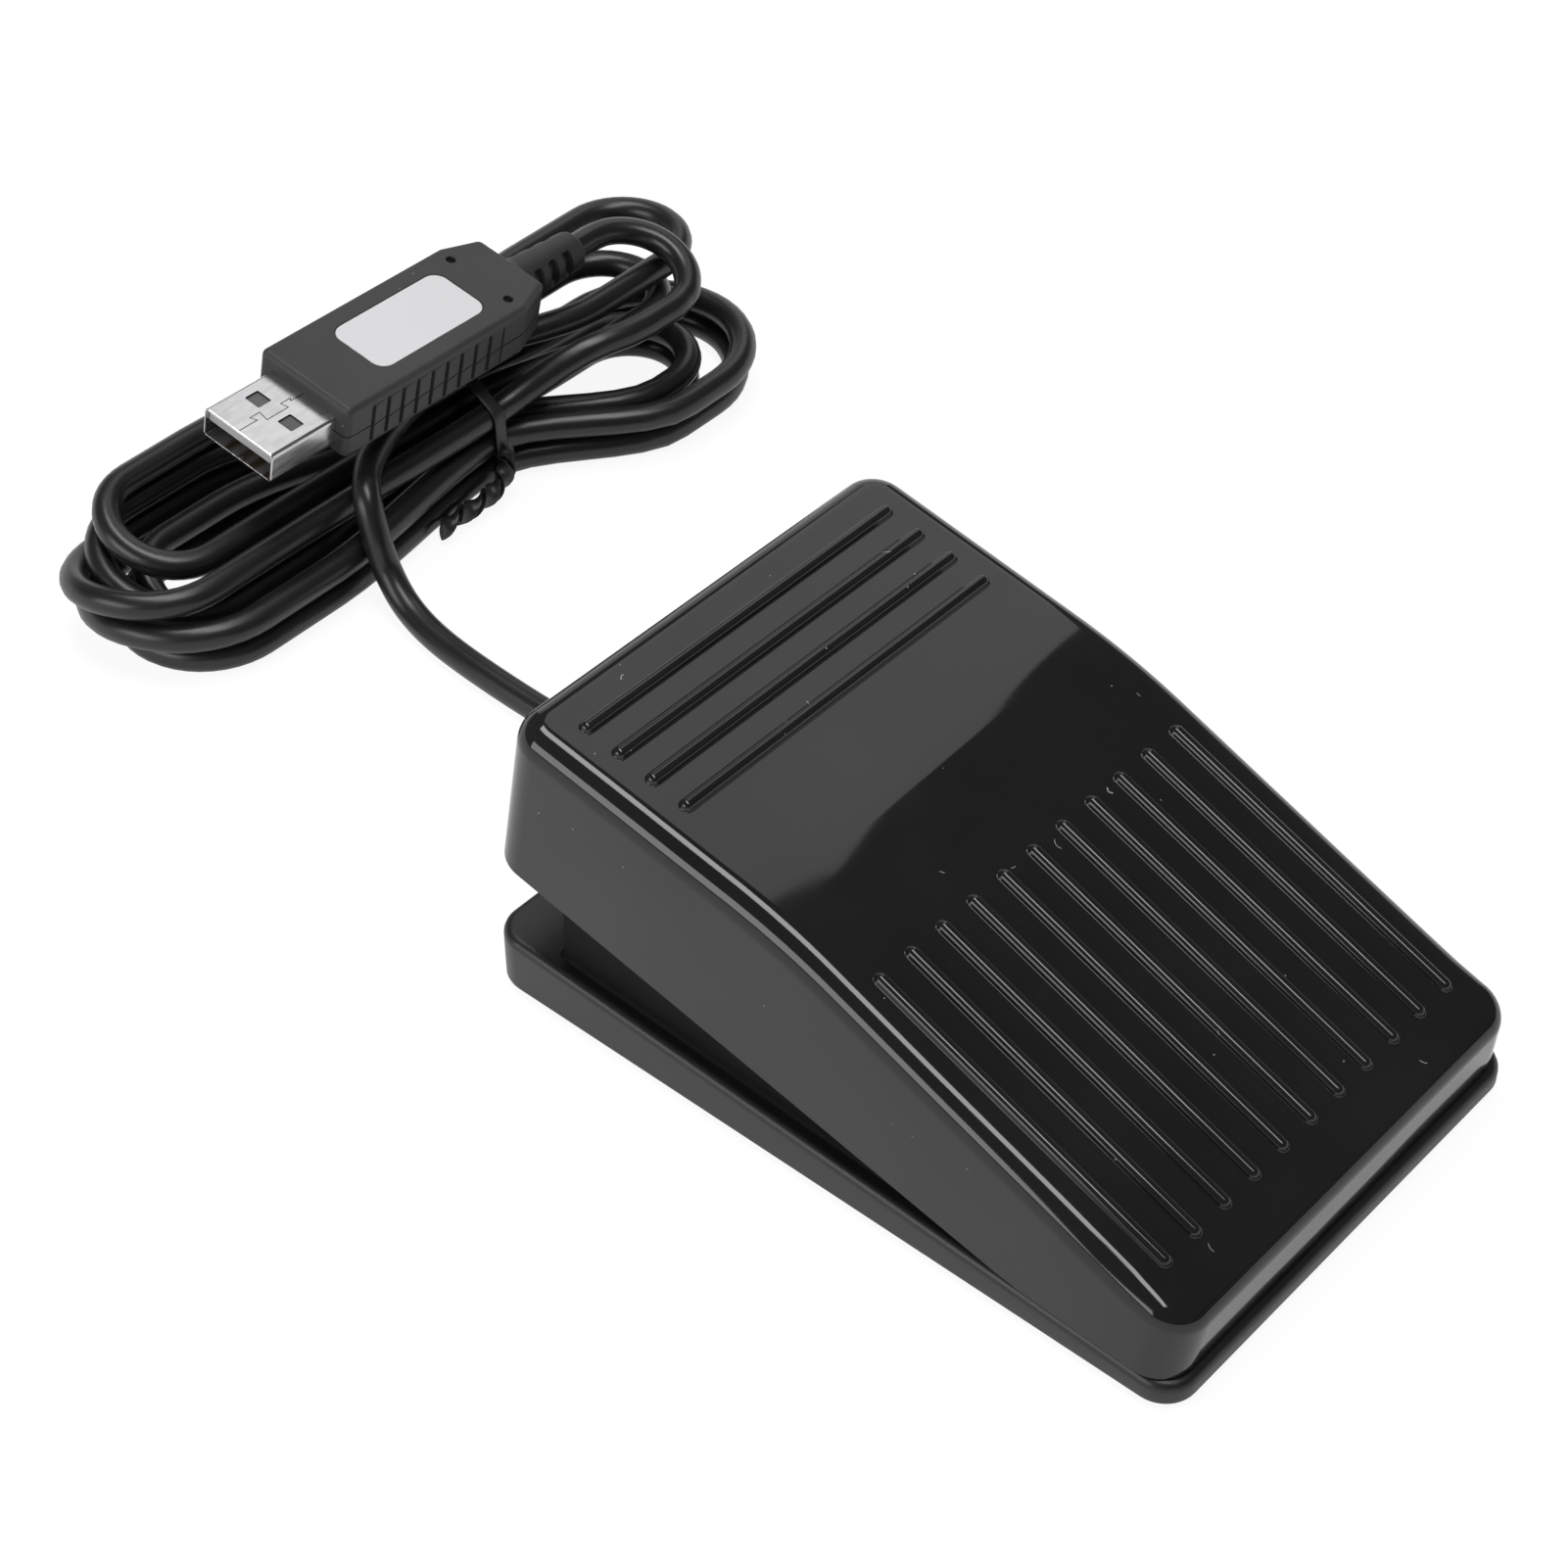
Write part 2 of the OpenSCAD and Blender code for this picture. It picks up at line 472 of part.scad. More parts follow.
module clamp_screws() color("#a9adb2") for (s = [-1, 1]) translate([exit_x + s * 5.6, clamp_y, 0]) {
    translate([0, 0, floor_z - 0.5]) cylinder(h = clamp_z + 2.6 - floor_z + 0.5, d = 1.8);
    difference() {
        translate([0, 0, clamp_z + 2.6]) cylinder(h = 1.2, d = 3.8);
        for (a = [0, 90]) rotate([0, 0, a]) translate([-1.2, -0.3, clamp_z + 3.2]) cube([2.4, 0.6, 2]);
    }
}

module cable_gland() color("#19191a") translate([exit_x, 0, exit_z]) rotate([-90, 0, 0]) difference() {
    union() {
        translate([0, 0, box_toe - box_wall]) cylinder(h = toe_y - box_toe + box_wall, d = gland_d - 0.02);
        translate([0, 0, toe_y + touch]) cylinder(h = 0.9, d = gland_d + 1.2);
        translate([0, 0, toe_y]) cylinder(h = gland_out, d1 = gland_d - 0.02, d2 = gland_d - 0.8);
        intersection() {
            translate([0, 0, box_toe - box_wall - 1]) cylinder(h = 1 - touch, d = gland_d + 1.2);
            translate([-10, -20, 0]) cube([20, 20 + exit_z - floor_z - touch, 100]);
        }
        translate([0, 0, box_toe - box_wall - 1]) cylinder(h = 2, d = gland_d - 0.02);
    }
    translate([0, 0, box_toe - 10]) cylinder(h = 40, d = cord_d);
}

module cable_lead() color("#1c1c1e") tube(lead_pts, r, 8);

module cable_hank() color("#1c1c1e") tube(hank_pts, r, 6);

tie_w = 2.2;
tie_play = 0.04;
// where the hank passes through a plane across the waist, as [y, z]
function passes(x) = [for (i = [0:len(hank_pts) - 2]) let (a = hank_pts[i], b = hank_pts[i + 1])
    if ((a[0] - x) * (b[0] - x) <= 0) let (t = (x - a[0]) / (b[0] - a[0])) [mix(a[1], b[1], t), mix(a[2], b[2], t)]];
waist_pts = concat(passes(waist_x - tie_w / 2), passes(waist_x + tie_w / 2));
tie_near = min([for (p = waist_pts) p[0]]) - r - tie_play - tie_t;
module tie_plan(grow) hull() for (p = waist_pts) translate(p) circle(r + grow, $fn = 24);
module cable_tie() color("#2a2a2b") {
    translate([waist_x - tie_w / 2, 0, 0]) rotate([90, 0, 90]) linear_extrude(tie_w) difference() {
        tie_plan(tie_play + tie_t);
        tie_plan(tie_play);
    }
    translate([waist_x - 0.95, tie_near - 1.5, 5.7]) cube([1.9, 1.72, 1.9]);
    a = [waist_x - 0.2, tie_near - 0.65, 6.6];
    tube(concat(catmull([a, a + [-0.4, -0.6, -0.3], a + [-3.4, -1.4, -1.8], a + [-8, -1.8, -3], a + [-14, -2.2, -4.6]], 4),
        [a + [-14, -2.2, -4.6]]), 0.8, 6);
}

module on_plug() translate(plug_at) rotate([plug_roll, plug_pitch, plug_yaw]) children();

side_t = 1.4;
board_t = 1;
board_z = -0.5;
rear_l = 5.8;
rear_in = 2.1;
soft_c = 0.7;
module house_plan(inset_d) {
    w = house_w / 2 - inset_d;
    x0 = shell_out + inset_d;
    x1 = house_x1 - inset_d;
    polygon([[x0, -w], [x1 - rear_l, -w], [x1, -w + rear_in], [x1, w - rear_in], [x1 - rear_l, w], [x0, w]]);
}
// half of the housing, its outer edge bevelled
module house_half(h) hull() {
    translate([0, 0, 0.01]) linear_extrude(h - soft_c) house_plan(0);
    translate([0, 0, 0.01]) linear_extrude(h - 0.01) house_plan(soft_c);
}
grip_n = 10;
module grip_cuts() for (s = [-1, 1], i = [0:grip_n - 1])
    translate([shell_out + 4.6 + i * 2.73, s * house_w / 2, 0]) rotate([0, 4, 0]) translate([-0.3, -0.35, -house_down * 0.7])
        cube([0.6, 0.7, (house_down + house_up) * 0.7]);
module house_bores() {
    translate([shell_out - 1, -shell_w / 2, -shell_h / 2]) cube([8, shell_w, shell_h]);
    translate([house_x1 - 4, 0, 0]) rotate([0, 90, 0]) cylinder(h = 6, d = 5.6);
}
label_l = 20;
label_w = 9.6;
label_x = shell_out + 9.3;
pipe_x = shell_out + 32.7;
pipe_y = 5.2;
pipe_d = 1.3;

module plug_top_shell() color("#39393b") on_plug() difference() {
    house_half(house_up);
    translate([0, 0, -1]) linear_extrude(house_up - side_t + 1) difference() {
        house_plan(side_t);
        translate([shell_out - 1, -house_w]) square([3.2, 2 * house_w]);
        translate([house_x1 - 3, -house_w]) square([5, 2 * house_w]);
    }
    house_bores();
    grip_cuts();
    translate([label_x + label_l / 2, 0, house_up - 0.2]) linear_extrude(1) round_plan(label_l + 0.04, label_w + 0.04, 2);
    for (s = [-1, 1]) translate([pipe_x, s * pipe_y, 0]) cylinder(h = 2 * house_h, d = pipe_d + 0.02, $fn = 24);
}

module plug_bottom_shell() color("#39393b") on_plug() difference() {
    mirror([0, 0, 1]) house_half(house_down);
    translate([0, 0, -house_down + side_t]) linear_extrude(house_h) difference() {
        house_plan(side_t);
        translate([shell_out - 1, -house_w]) square([3.2, 2 * house_w]);
        translate([house_x1 - 3, -house_w]) square([5, 2 * house_w]);
        for (s = [-1, 1]) translate([shell_out + 20, s * (house_w / 2 - side_t)]) square([10, 2.4], center = true);
    }
    translate([0, 0, board_z - board_t / 2 - touch]) linear_extrude(house_h) difference() {
        house_plan(side_t);
        translate([shell_out - 1, -house_w]) square([3.2, 2 * house_w]);
        translate([house_x1 - 3, -house_w]) square([5, 2 * house_w]);
    }
    house_bores();
    grip_cuts();
}

module usb_shell() color("#c9ccd0") on_plug() difference() {
    translate([0, -shell_w / 2 + 0.01, -shell_h / 2 + 0.01]) cube([shell_out + 6.8, shell_w - 0.02, shell_h - 0.02]);
    translate([-1, -shell_w / 2 + 0.31, -shell_h / 2 + 0.31]) cube([shell_out + 6, shell_w - 0.62, shell_h - 0.62]);
    for (s = [-1, 1]) translate([5.2, s * 2.9 - 1.25, -shell_h]) cube([2.2, 2.5, 2 * shell_h]);
}

module usb_tongue() color("#47474a") on_plug() {
    translate([0.6, -shell_w / 2 + 0.35, 0.2]) cube([shell_out + 4.3, shell_w - 0.7, shell_h / 2 - 0.32 - 0.2]);
    translate([shell_out + 2.2, -shell_w / 2 + 0.35, -shell_h / 2 + 0.34]) cube([2.7, shell_w - 0.7, shell_h / 2 - 0.13]);
}

module usb_contacts() color("#d6b25e") on_plug() for (y = [-3.5, -1, 1, 3.5])
    translate([1.6, y - 0.5, 0.02]) cube([shell_out - 0.6, 1, 0.18 - touch]);

module plug_board() color("#1f5a3a") on_plug() translate([shell_out + 7.4, -house_w / 2 + side_t + 0.7, board_z - board_t / 2])
    cube([pipe_x + 0.9 - shell_out - 7.4, house_w - 2 * side_t - 1.4, board_t]);

module plug_chip() color("#101012") on_plug() translate([shell_out + 14, -2.5, board_z + board_t / 2 + touch]) cube([5, 5, 0.9]);

module light_pipes() color("#101010") on_plug() for (s = [-1, 1]) translate([pipe_x, s * pipe_y, board_z + board_t / 2 + touch])
    cylinder(h = house_up - 0.25 - board_z - board_t / 2 - touch, d = pipe_d, $fn = 24);

module plug_label() color("#e4e4e2") on_plug() translate([label_x + label_l / 2, 0, house_up - 0.2 + touch])
    linear_extrude(0.14) round_plan(label_l, label_w, 2);

boot_big = 7;
boot_small = 5.4;
slot_w = 1.4;
slot_step = 3;
slot_deep = 4;
slot_mid = cord_d / 2 + 0.7 + slot_deep / 2;
module plug_boot() color("#1a1a1b") on_plug() rotate([0, 90, 0]) difference() {
    union() {
        translate([0, 0, house_x1 - 3]) cylinder(h = 3.2, d = 5.6 - 0.02);
        translate([0, 0, house_x1 + touch]) cylinder(h = boot_l - touch, d1 = boot_big, d2 = boot_small);
    }
    translate([0, 0, boot_x1 - boot_hold]) cylinder(h = boot_hold + 1, d = cord_d);
    translate([0, 0, house_x1 - 4]) cylinder(h = boot_l, d = cord_d - 1);
    for (i = [0:2], s = [-1, 1]) translate([-boot_big, s * slot_mid - slot_deep / 2, house_x1 + 2.4 + i * slot_step])
        cube([2 * boot_big, slot_deep, slot_w]);
}

base_tray();
rubber_feet();
hinge_pins();
pedal_cap();
return_spring();
switch_case();
switch_plunger();
switch_terminals();
switch_screws();
switch_wires();
cable_clamp();
clamp_screws();
cable_gland();
cable_lead();
cable_hank();
cable_tie();
plug_top_shell();
plug_bottom_shell();
usb_shell();
usb_tongue();
usb_contacts();
plug_board();
plug_chip();
light_pipes();
plug_label();
plug_boot();
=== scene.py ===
# %% [markdown]
# A USB foot pedal switch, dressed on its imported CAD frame. The frame brings every solid part to the right
# place, in metres. This lesson keeps those places and gives each visible part the soft edges, the grain
# and the gloss that the moulded plastic, the cord and the metal plug have on the real object.

import math

import bmesh
import bpy
from mathutils import Matrix, Vector


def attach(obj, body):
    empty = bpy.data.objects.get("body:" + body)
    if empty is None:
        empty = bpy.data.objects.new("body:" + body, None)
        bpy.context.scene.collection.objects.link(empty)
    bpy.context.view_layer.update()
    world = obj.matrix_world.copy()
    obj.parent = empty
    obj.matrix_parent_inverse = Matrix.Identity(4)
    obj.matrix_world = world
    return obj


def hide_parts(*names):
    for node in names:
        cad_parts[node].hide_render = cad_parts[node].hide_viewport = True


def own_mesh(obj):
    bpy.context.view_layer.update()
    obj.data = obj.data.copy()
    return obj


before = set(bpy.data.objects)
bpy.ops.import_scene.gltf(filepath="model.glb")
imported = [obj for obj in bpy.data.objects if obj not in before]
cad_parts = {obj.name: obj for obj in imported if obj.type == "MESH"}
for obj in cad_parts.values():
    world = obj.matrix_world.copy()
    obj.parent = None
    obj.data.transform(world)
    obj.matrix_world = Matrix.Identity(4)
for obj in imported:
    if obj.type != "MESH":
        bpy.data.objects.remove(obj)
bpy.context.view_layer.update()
MM = 0.001

# %% [markdown]
# The camera comes first, because everything else is judged through it. Its place was found by fitting the
# straight edges of the base and the even steps of the ribs. A long lens a short arm's length away gives
# the mild perspective of a product photograph.

# %% Camera
camera_turn = math.radians(-48.934)
camera_rise = math.radians(42.319)
camera_spot = Vector((-223.06, -162.65, 287.87)) * MM
look_back = Vector((
    math.sin(camera_turn) * math.cos(camera_rise),
    -math.cos(camera_turn) * math.cos(camera_rise),
    math.sin(camera_rise),
))
camera_data = bpy.data.cameras.new("photo_camera")
camera_data.lens = 79.84
camera_data.sensor_width = 36
camera_data.clip_start = 0.01
camera = bpy.data.objects.new("photo_camera", camera_data)
camera.location = camera_spot
camera.rotation_euler = look_back.to_track_quat("Z", "Y").to_euler()
bpy.context.collection.objects.link(camera)
bpy.context.scene.camera = camera
print("camera at", [round(v, 4) for v in camera.location])

# %% [markdown]
# Sky, floor and finishes are all node trees. Linked socket by socket they are long to read, so four helpers
# take sockets and plain numbers alike, and give back the socket that holds their result. The Standard view
# keeps the white of a product photograph white.

# %% Node helpers
scene = bpy.context.scene
scene.view_settings.view_transform = "Standard"


def feed(tree, socket, value):
    """Links a source socket to an input, or stores a plain value in it."""
    if isinstance(value, bpy.types.NodeSocket):
        tree.links.new(value, socket)
    else:
        socket.default_value = value


def add_node(tree, kind, inputs):
    """A new node whose inputs are given by name."""
    node = tree.nodes.new(kind)
    for name, value in inputs.items():
        feed(tree, node.inputs[name], value)
    return node


def calc(tree, operation, *values, kind="ShaderNodeMath"):
    """A Math node on sockets and numbers; returns its first output."""
    node = tree.nodes.new(kind)
    node.operation = operation
    for socket, value in zip(node.inputs, values):
        feed(tree, socket, value)
    return node.outputs[0]


def map_range(tree, value, start, end):
    """Maps a value from one range to another, clamped; returns the result."""
    ends = {"Value": value, "From Min": start[0], "From Max": start[1], "To Min": end[0], "To Max": end[1]}
    return add_node(tree, "ShaderNodeMapRange", ends).outputs["Result"]


print("view transform:", scene.view_settings.view_transform)

# %% [markdown]
# Glossy black plastic has almost no colour of its own, so what it mirrors is its look. A panel on the right
# turns the toe face grey, and the slope below the bend looks past it and stays black. A long panel overhead
# draws the inner line on the rounded edge and one line on every bead, a panel on the left draws the outer
# line, and a weak one behind lightens the far edges. The sky is white to the camera. Mirrors see it white
# only near the horizon, as a backdrop would be, and dark above. The Light Path node tells these rays apart.

# %% Sky
sky_shade = 0.1
backdrop_rise = (0.1, 0.2)
world = bpy.data.worlds.new("studio_air")
world.use_nodes = True
sky = world.node_tree
ray = sky.nodes.new("ShaderNodeLightPath").outputs
view_way = sky.nodes.new("ShaderNodeTexCoord").outputs["Generated"]
rise = add_node(sky, "ShaderNodeSeparateXYZ", {"Vector": view_way}).outputs["Z"]
backdrop = map_range(sky, rise, backdrop_rise, (1, 0))
mirrored = calc(sky, "ADD", ray["Is Glossy Ray"], ray["Is Transmission Ray"])
seen = calc(sky, "MAXIMUM", ray["Is Camera Ray"], calc(sky, "MULTIPLY", mirrored, backdrop))
air = sky.nodes["Background"].inputs
feed(sky, air["Color"], (1, 1, 1, 1))
feed(sky, air["Strength"], map_range(sky, seen, (0, 1), (sky_shade, 1)))
scene.world = world
print("sky strength", sky_shade, "to light, 1 to the camera")

# %% Panels
stage_middle = Vector((0, 0.02, 0.03))


def panel(name, towards, distance, width, height, radiance):
    """A flat soft light that faces the object; radiance is its brightness seen in a mirror."""
    data = bpy.data.lights.new(name, "AREA")
    data.shape = "RECTANGLE"
    data.size = width
    data.size_y = height
    data.energy = radiance * math.pi * width * height
    light = bpy.data.objects.new(name, data)
    away = Vector(towards).normalized()
    light.location = stage_middle + away * distance
    light.rotation_euler = away.to_track_quat("Z", "Y").to_euler()
    bpy.context.collection.objects.link(light)
    print(name, "power", round(data.energy, 2), "W")


panel("top_panel", (0.009, 0.0375, 1.0), 1.2, 0.36, 1.2, 7.6)
panel("right_panel", (0.66, 0.36, 0.72), 1.25, 0.55, 0.7, 1.1)
panel("left_panel", (-0.85, 0.22, 0.40), 1.2, 0.9, 0.5, 4.0)
panel("far_panel", (0.68, 0.66, 0.3), 1.4, 1.0, 0.5, 0.7)

# %% [markdown]
# The floor is plain white card. The camera sees it mostly as even white, with a share of the real light on it
# left in, so that it keeps the object's soft shadow. Mirrors see more of that shadow, because the base's
# walls look darker where they face the shaded floor.

# %% Floor
floor_half = 4.0
floor_white = 1.08
camera_share = 0.85
mirror_share = 0.45
card_tone = (0.92, 0.92, 0.92, 1)
quad = ((-1, -1), (1, -1), (1, 1), (-1, 1))
floor_mesh = bpy.data.meshes.new("floor")
floor_mesh.from_pydata([(sx * floor_half, sy * floor_half, 0) for sx, sy in quad], [], [(0, 1, 2, 3)])
floor = bpy.data.objects.new("floor", floor_mesh)
bpy.context.collection.objects.link(floor)
floor_paint = bpy.data.materials.new("floor_paint")
floor_paint.use_nodes = True
card = floor_paint.node_tree
card.nodes.remove(card.nodes["Principled BSDF"])
ray = card.nodes.new("ShaderNodeLightPath").outputs
mirrored = calc(card, "ADD", ray["Is Glossy Ray"], ray["Is Transmission Ray"])
dimmed = calc(card, "MULTIPLY", mirrored, mirror_share)
share = calc(card, "MULTIPLY_ADD", ray["Is Camera Ray"], camera_share, dimmed)
share.node.use_clamp = True
lit = add_node(card, "ShaderNodeBsdfDiffuse", {"Color": card_tone}).outputs[0]
glow = add_node(card, "ShaderNodeEmission", {"Strength": floor_white}).outputs[0]
blend = card.nodes.new("ShaderNodeMixShader")
for socket, value in zip(blend.inputs, (share, lit, glow)):
    feed(card, socket, value)
feed(card, card.nodes["Material Output"].inputs["Surface"], blend.outputs[0])
floor_mesh.materials.append(floor_paint)
print("floor is", 2 * floor_half, "m wide")

# %% [markdown]
# Moulded plastic, rubber and cord sheath share a few small effects: a fine moulded grain, slow waves in
# a glossy skin, drifting tone, dust specks and short hair marks. Each is a node group with named sockets,
# so that a material only sets its own scale and strength.

# %% Shared effect groups


def effect(name, inputs, output):
    """An empty node group with float inputs and one float output; returns it and its inner ends."""
    group = bpy.data.node_groups.new(name, "ShaderNodeTree")
    group.interface.new_socket(name="Place", in_out="INPUT", socket_type="NodeSocketVector")
    for label, value in inputs:
        socket = group.interface.new_socket(name=label, in_out="INPUT", socket_type="NodeSocketFloat")
        socket.default_value = value
    group.interface.new_socket(name=output, in_out="OUTPUT", socket_type="NodeSocketFloat")
    start = group.nodes.new("NodeGroupInput").outputs
    end = group.nodes.new("NodeGroupOutput").inputs[output]
    return group, start, end


def noise_effect(name, detail, output):
    """Plain noise at a given scale, centred on zero and multiplied by a strength."""
    group, start, end = effect(name, [("Scale", 100.0), ("Strength", 1.0)], output)
    noise = add_node(group, "ShaderNodeTexNoise",
                     {"Vector": start["Place"], "Scale": start["Scale"], "Detail": detail})
    centred = calc(group, "SUBTRACT", noise.outputs["Fac"], 0.5)
    feed(group, end, calc(group, "MULTIPLY", centred, start["Strength"]))
    return group


moulded_grain = noise_effect("moulded_grain", 2.0, "Height")
slow_waves = noise_effect("slow_waves", 0.0, "Height")
tone_drift = noise_effect("tone_drift", 3.0, "Shift")
print("noise effects:", moulded_grain.name, slow_waves.name, tone_drift.name)

# %% [markdown]
# A polished pedal shows dust and short hairs. An image could hold them, but it would need a map of every
# surface. A pattern of cells places them in space instead: a random share of the cells holds a speck in its
# middle, or part of a thin shell round its middle, which reads as a short curved hair.

# %% Specks and hair marks


def chosen_cells(group, start):
    """A pattern of cells, and a mask that is 1 in a random share of them."""
    place = {"Vector": start["Place"], "Scale": start["Scale"]}
    cells = add_node(group, "ShaderNodeTexVoronoi", place).outputs
    tint = add_node(group, "ShaderNodeSeparateColor", {"Color": cells["Color"]}).outputs[0]
    return cells, calc(group, "LESS_THAN", tint, start["Share"])


def speck_effect():
    """Small round specks in the middle of the chosen cells."""
    group, start, end = effect("dust_specks", [("Scale", 300.0), ("Share", 0.02), ("Size", 0.2)], "Mask")
    cells, chosen = chosen_cells(group, start)
    near = calc(group, "LESS_THAN", cells["Distance"], start["Size"])
    feed(group, end, calc(group, "MULTIPLY", near, chosen))
    return group


def hair_effect():
    """Short curved lines: part of a thin shell round the middle of the chosen cells, on a random side."""
    group, start, end = effect("hair_marks", [("Scale", 300.0), ("Share", 0.03), ("Width", 0.01)], "Mask")
    cells, chosen = chosen_cells(group, start)
    vector = "ShaderNodeVectorMath"
    shell_radius = 0.25
    shell = calc(group, "COMPARE", cells["Distance"], shell_radius, start["Width"])
    arm = calc(group, "SUBTRACT", start["Place"], cells["Position"], kind=vector)
    lean = calc(group, "SUBTRACT", cells["Color"], (0.5, 0.5, 0.5), kind=vector)
    aim = calc(group, "NORMALIZE", lean, kind=vector)
    meet = calc(group, "DOT_PRODUCT", arm, aim, kind=vector).node.outputs["Value"]
    reach = calc(group, "MULTIPLY", meet, start["Scale"])
    part = calc(group, "GREATER_THAN", reach, 0.6 * shell_radius)
    some = calc(group, "MULTIPLY", shell, chosen)
    feed(group, end, calc(group, "MULTIPLY", some, part))
    return group


dust_specks = speck_effect()
hair_marks = hair_effect()
print("effect groups:", sorted(g.name for g in bpy.data.node_groups))

# %% [markdown]
# A moulded finish is one Principled shader with those effects in front of it: two close tones mixed by
# slow noise, dust and hair marks on top, roughness that drifts a little, and a bump made of grain and waves.

# %% Moulded finishes
noise_span = (-0.3, 0.3)
dust_tone = (0.3, 0.3, 0.29, 1)


def put(tree, group, place, *values):
    """Places an effect group, sets its inputs in their order and returns its output."""
    node = tree.nodes.new("ShaderNodeGroup")
    node.node_tree = group
    for socket, value in zip(node.inputs, (place, *values)):
        feed(tree, socket, value)
    return node.outputs[0]


def new_paint(name):
    """A material, its node tree, its Principled shader's inputs and the object's own coordinates."""
    paint = bpy.data.materials.new(name)
    paint.use_nodes = True
    tree = paint.node_tree
    place = tree.nodes.new("ShaderNodeTexCoord").outputs["Object"]
    return paint, tree, tree.nodes["Principled BSDF"].inputs, place


def colour_mix(tree, factor, a, b):
    """Mixes colour b over colour a by a mask."""
    node = tree.nodes.new("ShaderNodeMix")
    node.data_type = "RGBA"
    for name, value in (("Factor", factor), ("A", a), ("B", b)):
        feed(tree, node.inputs[name], value)
    return node.outputs["Result"]


def two_tones(tree, tone, drift, dark, light):
    """A colour that drifts between a darker and a lighter share of a tone."""
    darker = (*[c * dark for c in tone], 1)
    lighter = (*[min(c * light, 1) for c in tone], 1)
    return colour_mix(tree, map_range(tree, drift, noise_span, (0, 1)), darker, lighter)


def raise_skin(tree, shader, height, distance):
    """A bump in front of the shader's normal."""
    bump = add_node(tree, "ShaderNodeBump", {"Height": height, "Distance": distance})
    feed(tree, shader["Normal"], bump.outputs["Normal"])


def moulded(name, tone, rough, grain, wave=None, dust=None, spread=0.25, specular=0.5, hairs=None):
    """A plastic or rubber: tone is a linear colour, grain and wave are (scale, height in metres)."""
    paint, tree, shader, place = new_paint(name)
    drift = put(tree, tone_drift, place, 60.0, 1.0)
    skin = two_tones(tree, tone, drift, 1 - spread, 1 + spread)
    if dust:
        mask = put(tree, dust_specks, place, *dust)
        if hairs:
            mask = calc(tree, "MAXIMUM", mask, put(tree, hair_marks, place, *hairs))
        skin = colour_mix(tree, mask, skin, dust_tone)
    height = put(tree, moulded_grain, place, *grain)
    if wave:
        height = calc(tree, "ADD", height, put(tree, slow_waves, place, *wave))
    feed(tree, shader["Specular IOR Level"], specular)
    feed(tree, shader["Base Color"], skin)
    feed(tree, shader["Roughness"], map_range(tree, drift, noise_span, rough))
    raise_skin(tree, shader, height, 1.0)
    return paint


print("noise is mapped from", noise_span)

# %% [markdown]
# Nearly every piece is black, and the eye tells them apart by gloss: the pedal is polished, the base is
# satin, the plug has a coarse sparkling grain, and the boot and the feet are dull. Each finish is one call,
# so that its tone, roughness and grain can be compared with the others.

# %% Plastics, rubbers and sheaths


def grey(value):
    """A nearly neutral dark tone, a trace bluer than grey."""
    return (value, value, value * 1.02)


cap_gloss = moulded("cap_gloss", grey(0.012), (0.05, 0.08), (900, 6e-7), (45, 4e-4), (700, 0.05, 0.07),
                    hairs=(300, 0.04, 0.015))
base_satin = moulded("base_satin", grey(0.013), (0.34, 0.42), (2600, 8e-6), (60, 3e-5), (700, 0.04, 0.07))
# A darker, duller copy of the base finish: its darker colour is painted shade for the box under the pedal.
box_painted_shade = moulded("box_painted_shade", grey(0.008), (0.6, 0.7), (2600, 8e-6), None, None, 0.25, 0.1)
plug_grain = moulded("plug_grain", grey(0.038), (0.5, 0.6), (3800, 2.2e-5), None, (800, 0.03, 0.09))
boot_matte = moulded("boot_matte", grey(0.024), (0.5, 0.6), (3000, 1e-5))
cord_sheath = moulded("cord_sheath", grey(0.012), (0.28, 0.36), (1600, 5e-6), (160, 3e-5))
tie_skin = moulded("tie_skin", grey(0.016), (0.4, 0.5), (2400, 8e-6))
foot_rubber = moulded("foot_rubber", grey(0.014), (0.7, 0.8), (1800, 2e-5))
switch_skin = moulded("switch_skin", grey(0.02), (0.45, 0.55), (2400, 1e-5))
plunger_skin = moulded("plunger_skin", (0.42, 0.05, 0.04), (0.4, 0.5), (2400, 6e-6))
wire_skin = moulded("wire_skin", (0.24, 0.03, 0.025), (0.35, 0.45), (1600, 5e-6))
# The tongue is painted far lighter than its own dark grey, as painted light on a face that the shell's lip
# keeps in shade.
tongue_painted_light = moulded("tongue_painted_light", grey(0.42), (0.45, 0.55), (2600, 8e-6))
carrier_grey = moulded("carrier_grey", grey(0.12), (0.5, 0.6), (2600, 8e-6))
board_mask = moulded("board_mask", (0.012, 0.1, 0.04), (0.3, 0.4), (1200, 6e-6))
# Black for the light pipes and the seam, and painted shade on the walls of the shell's windows.
black_and_painted_shade = moulded("black_and_painted_shade", grey(0.003), (0.6, 0.7), (900, 2e-6), None, None, 0.25, 0.1)
label_face = moulded("label_face", grey(0.78), (0.32, 0.4), (900, 4e-6), None, None, 0.03)
print("materials so far:", len(bpy.data.materials))

# %% [markdown]
# Plated metal is a metallic Principled shader. Drawn shells carry fine lines along their length, so a noise
# that is stretched along the object gives both the roughness and the bump.

# %% Metal finishes


def plated(name, tone, rough, stretch, height):
    """A metal with fine drawn lines; stretch scales the noise along X, Y and Z."""
    paint, tree, shader, place = new_paint(name)
    longer = add_node(tree, "ShaderNodeMapping", {"Vector": place, "Scale": stretch}).outputs["Vector"]
    lines = put(tree, moulded_grain, longer, 1500.0, 1.0)
    drift = put(tree, tone_drift, place, 400.0, 1.0)
    feed(tree, shader["Metallic"], 1.0)
    feed(tree, shader["Base Color"], two_tones(tree, tone, drift, 0.9, 1.08))
    feed(tree, shader["Roughness"], map_range(tree, lines, noise_span, rough))
    raise_skin(tree, shader, lines, height)
    return paint


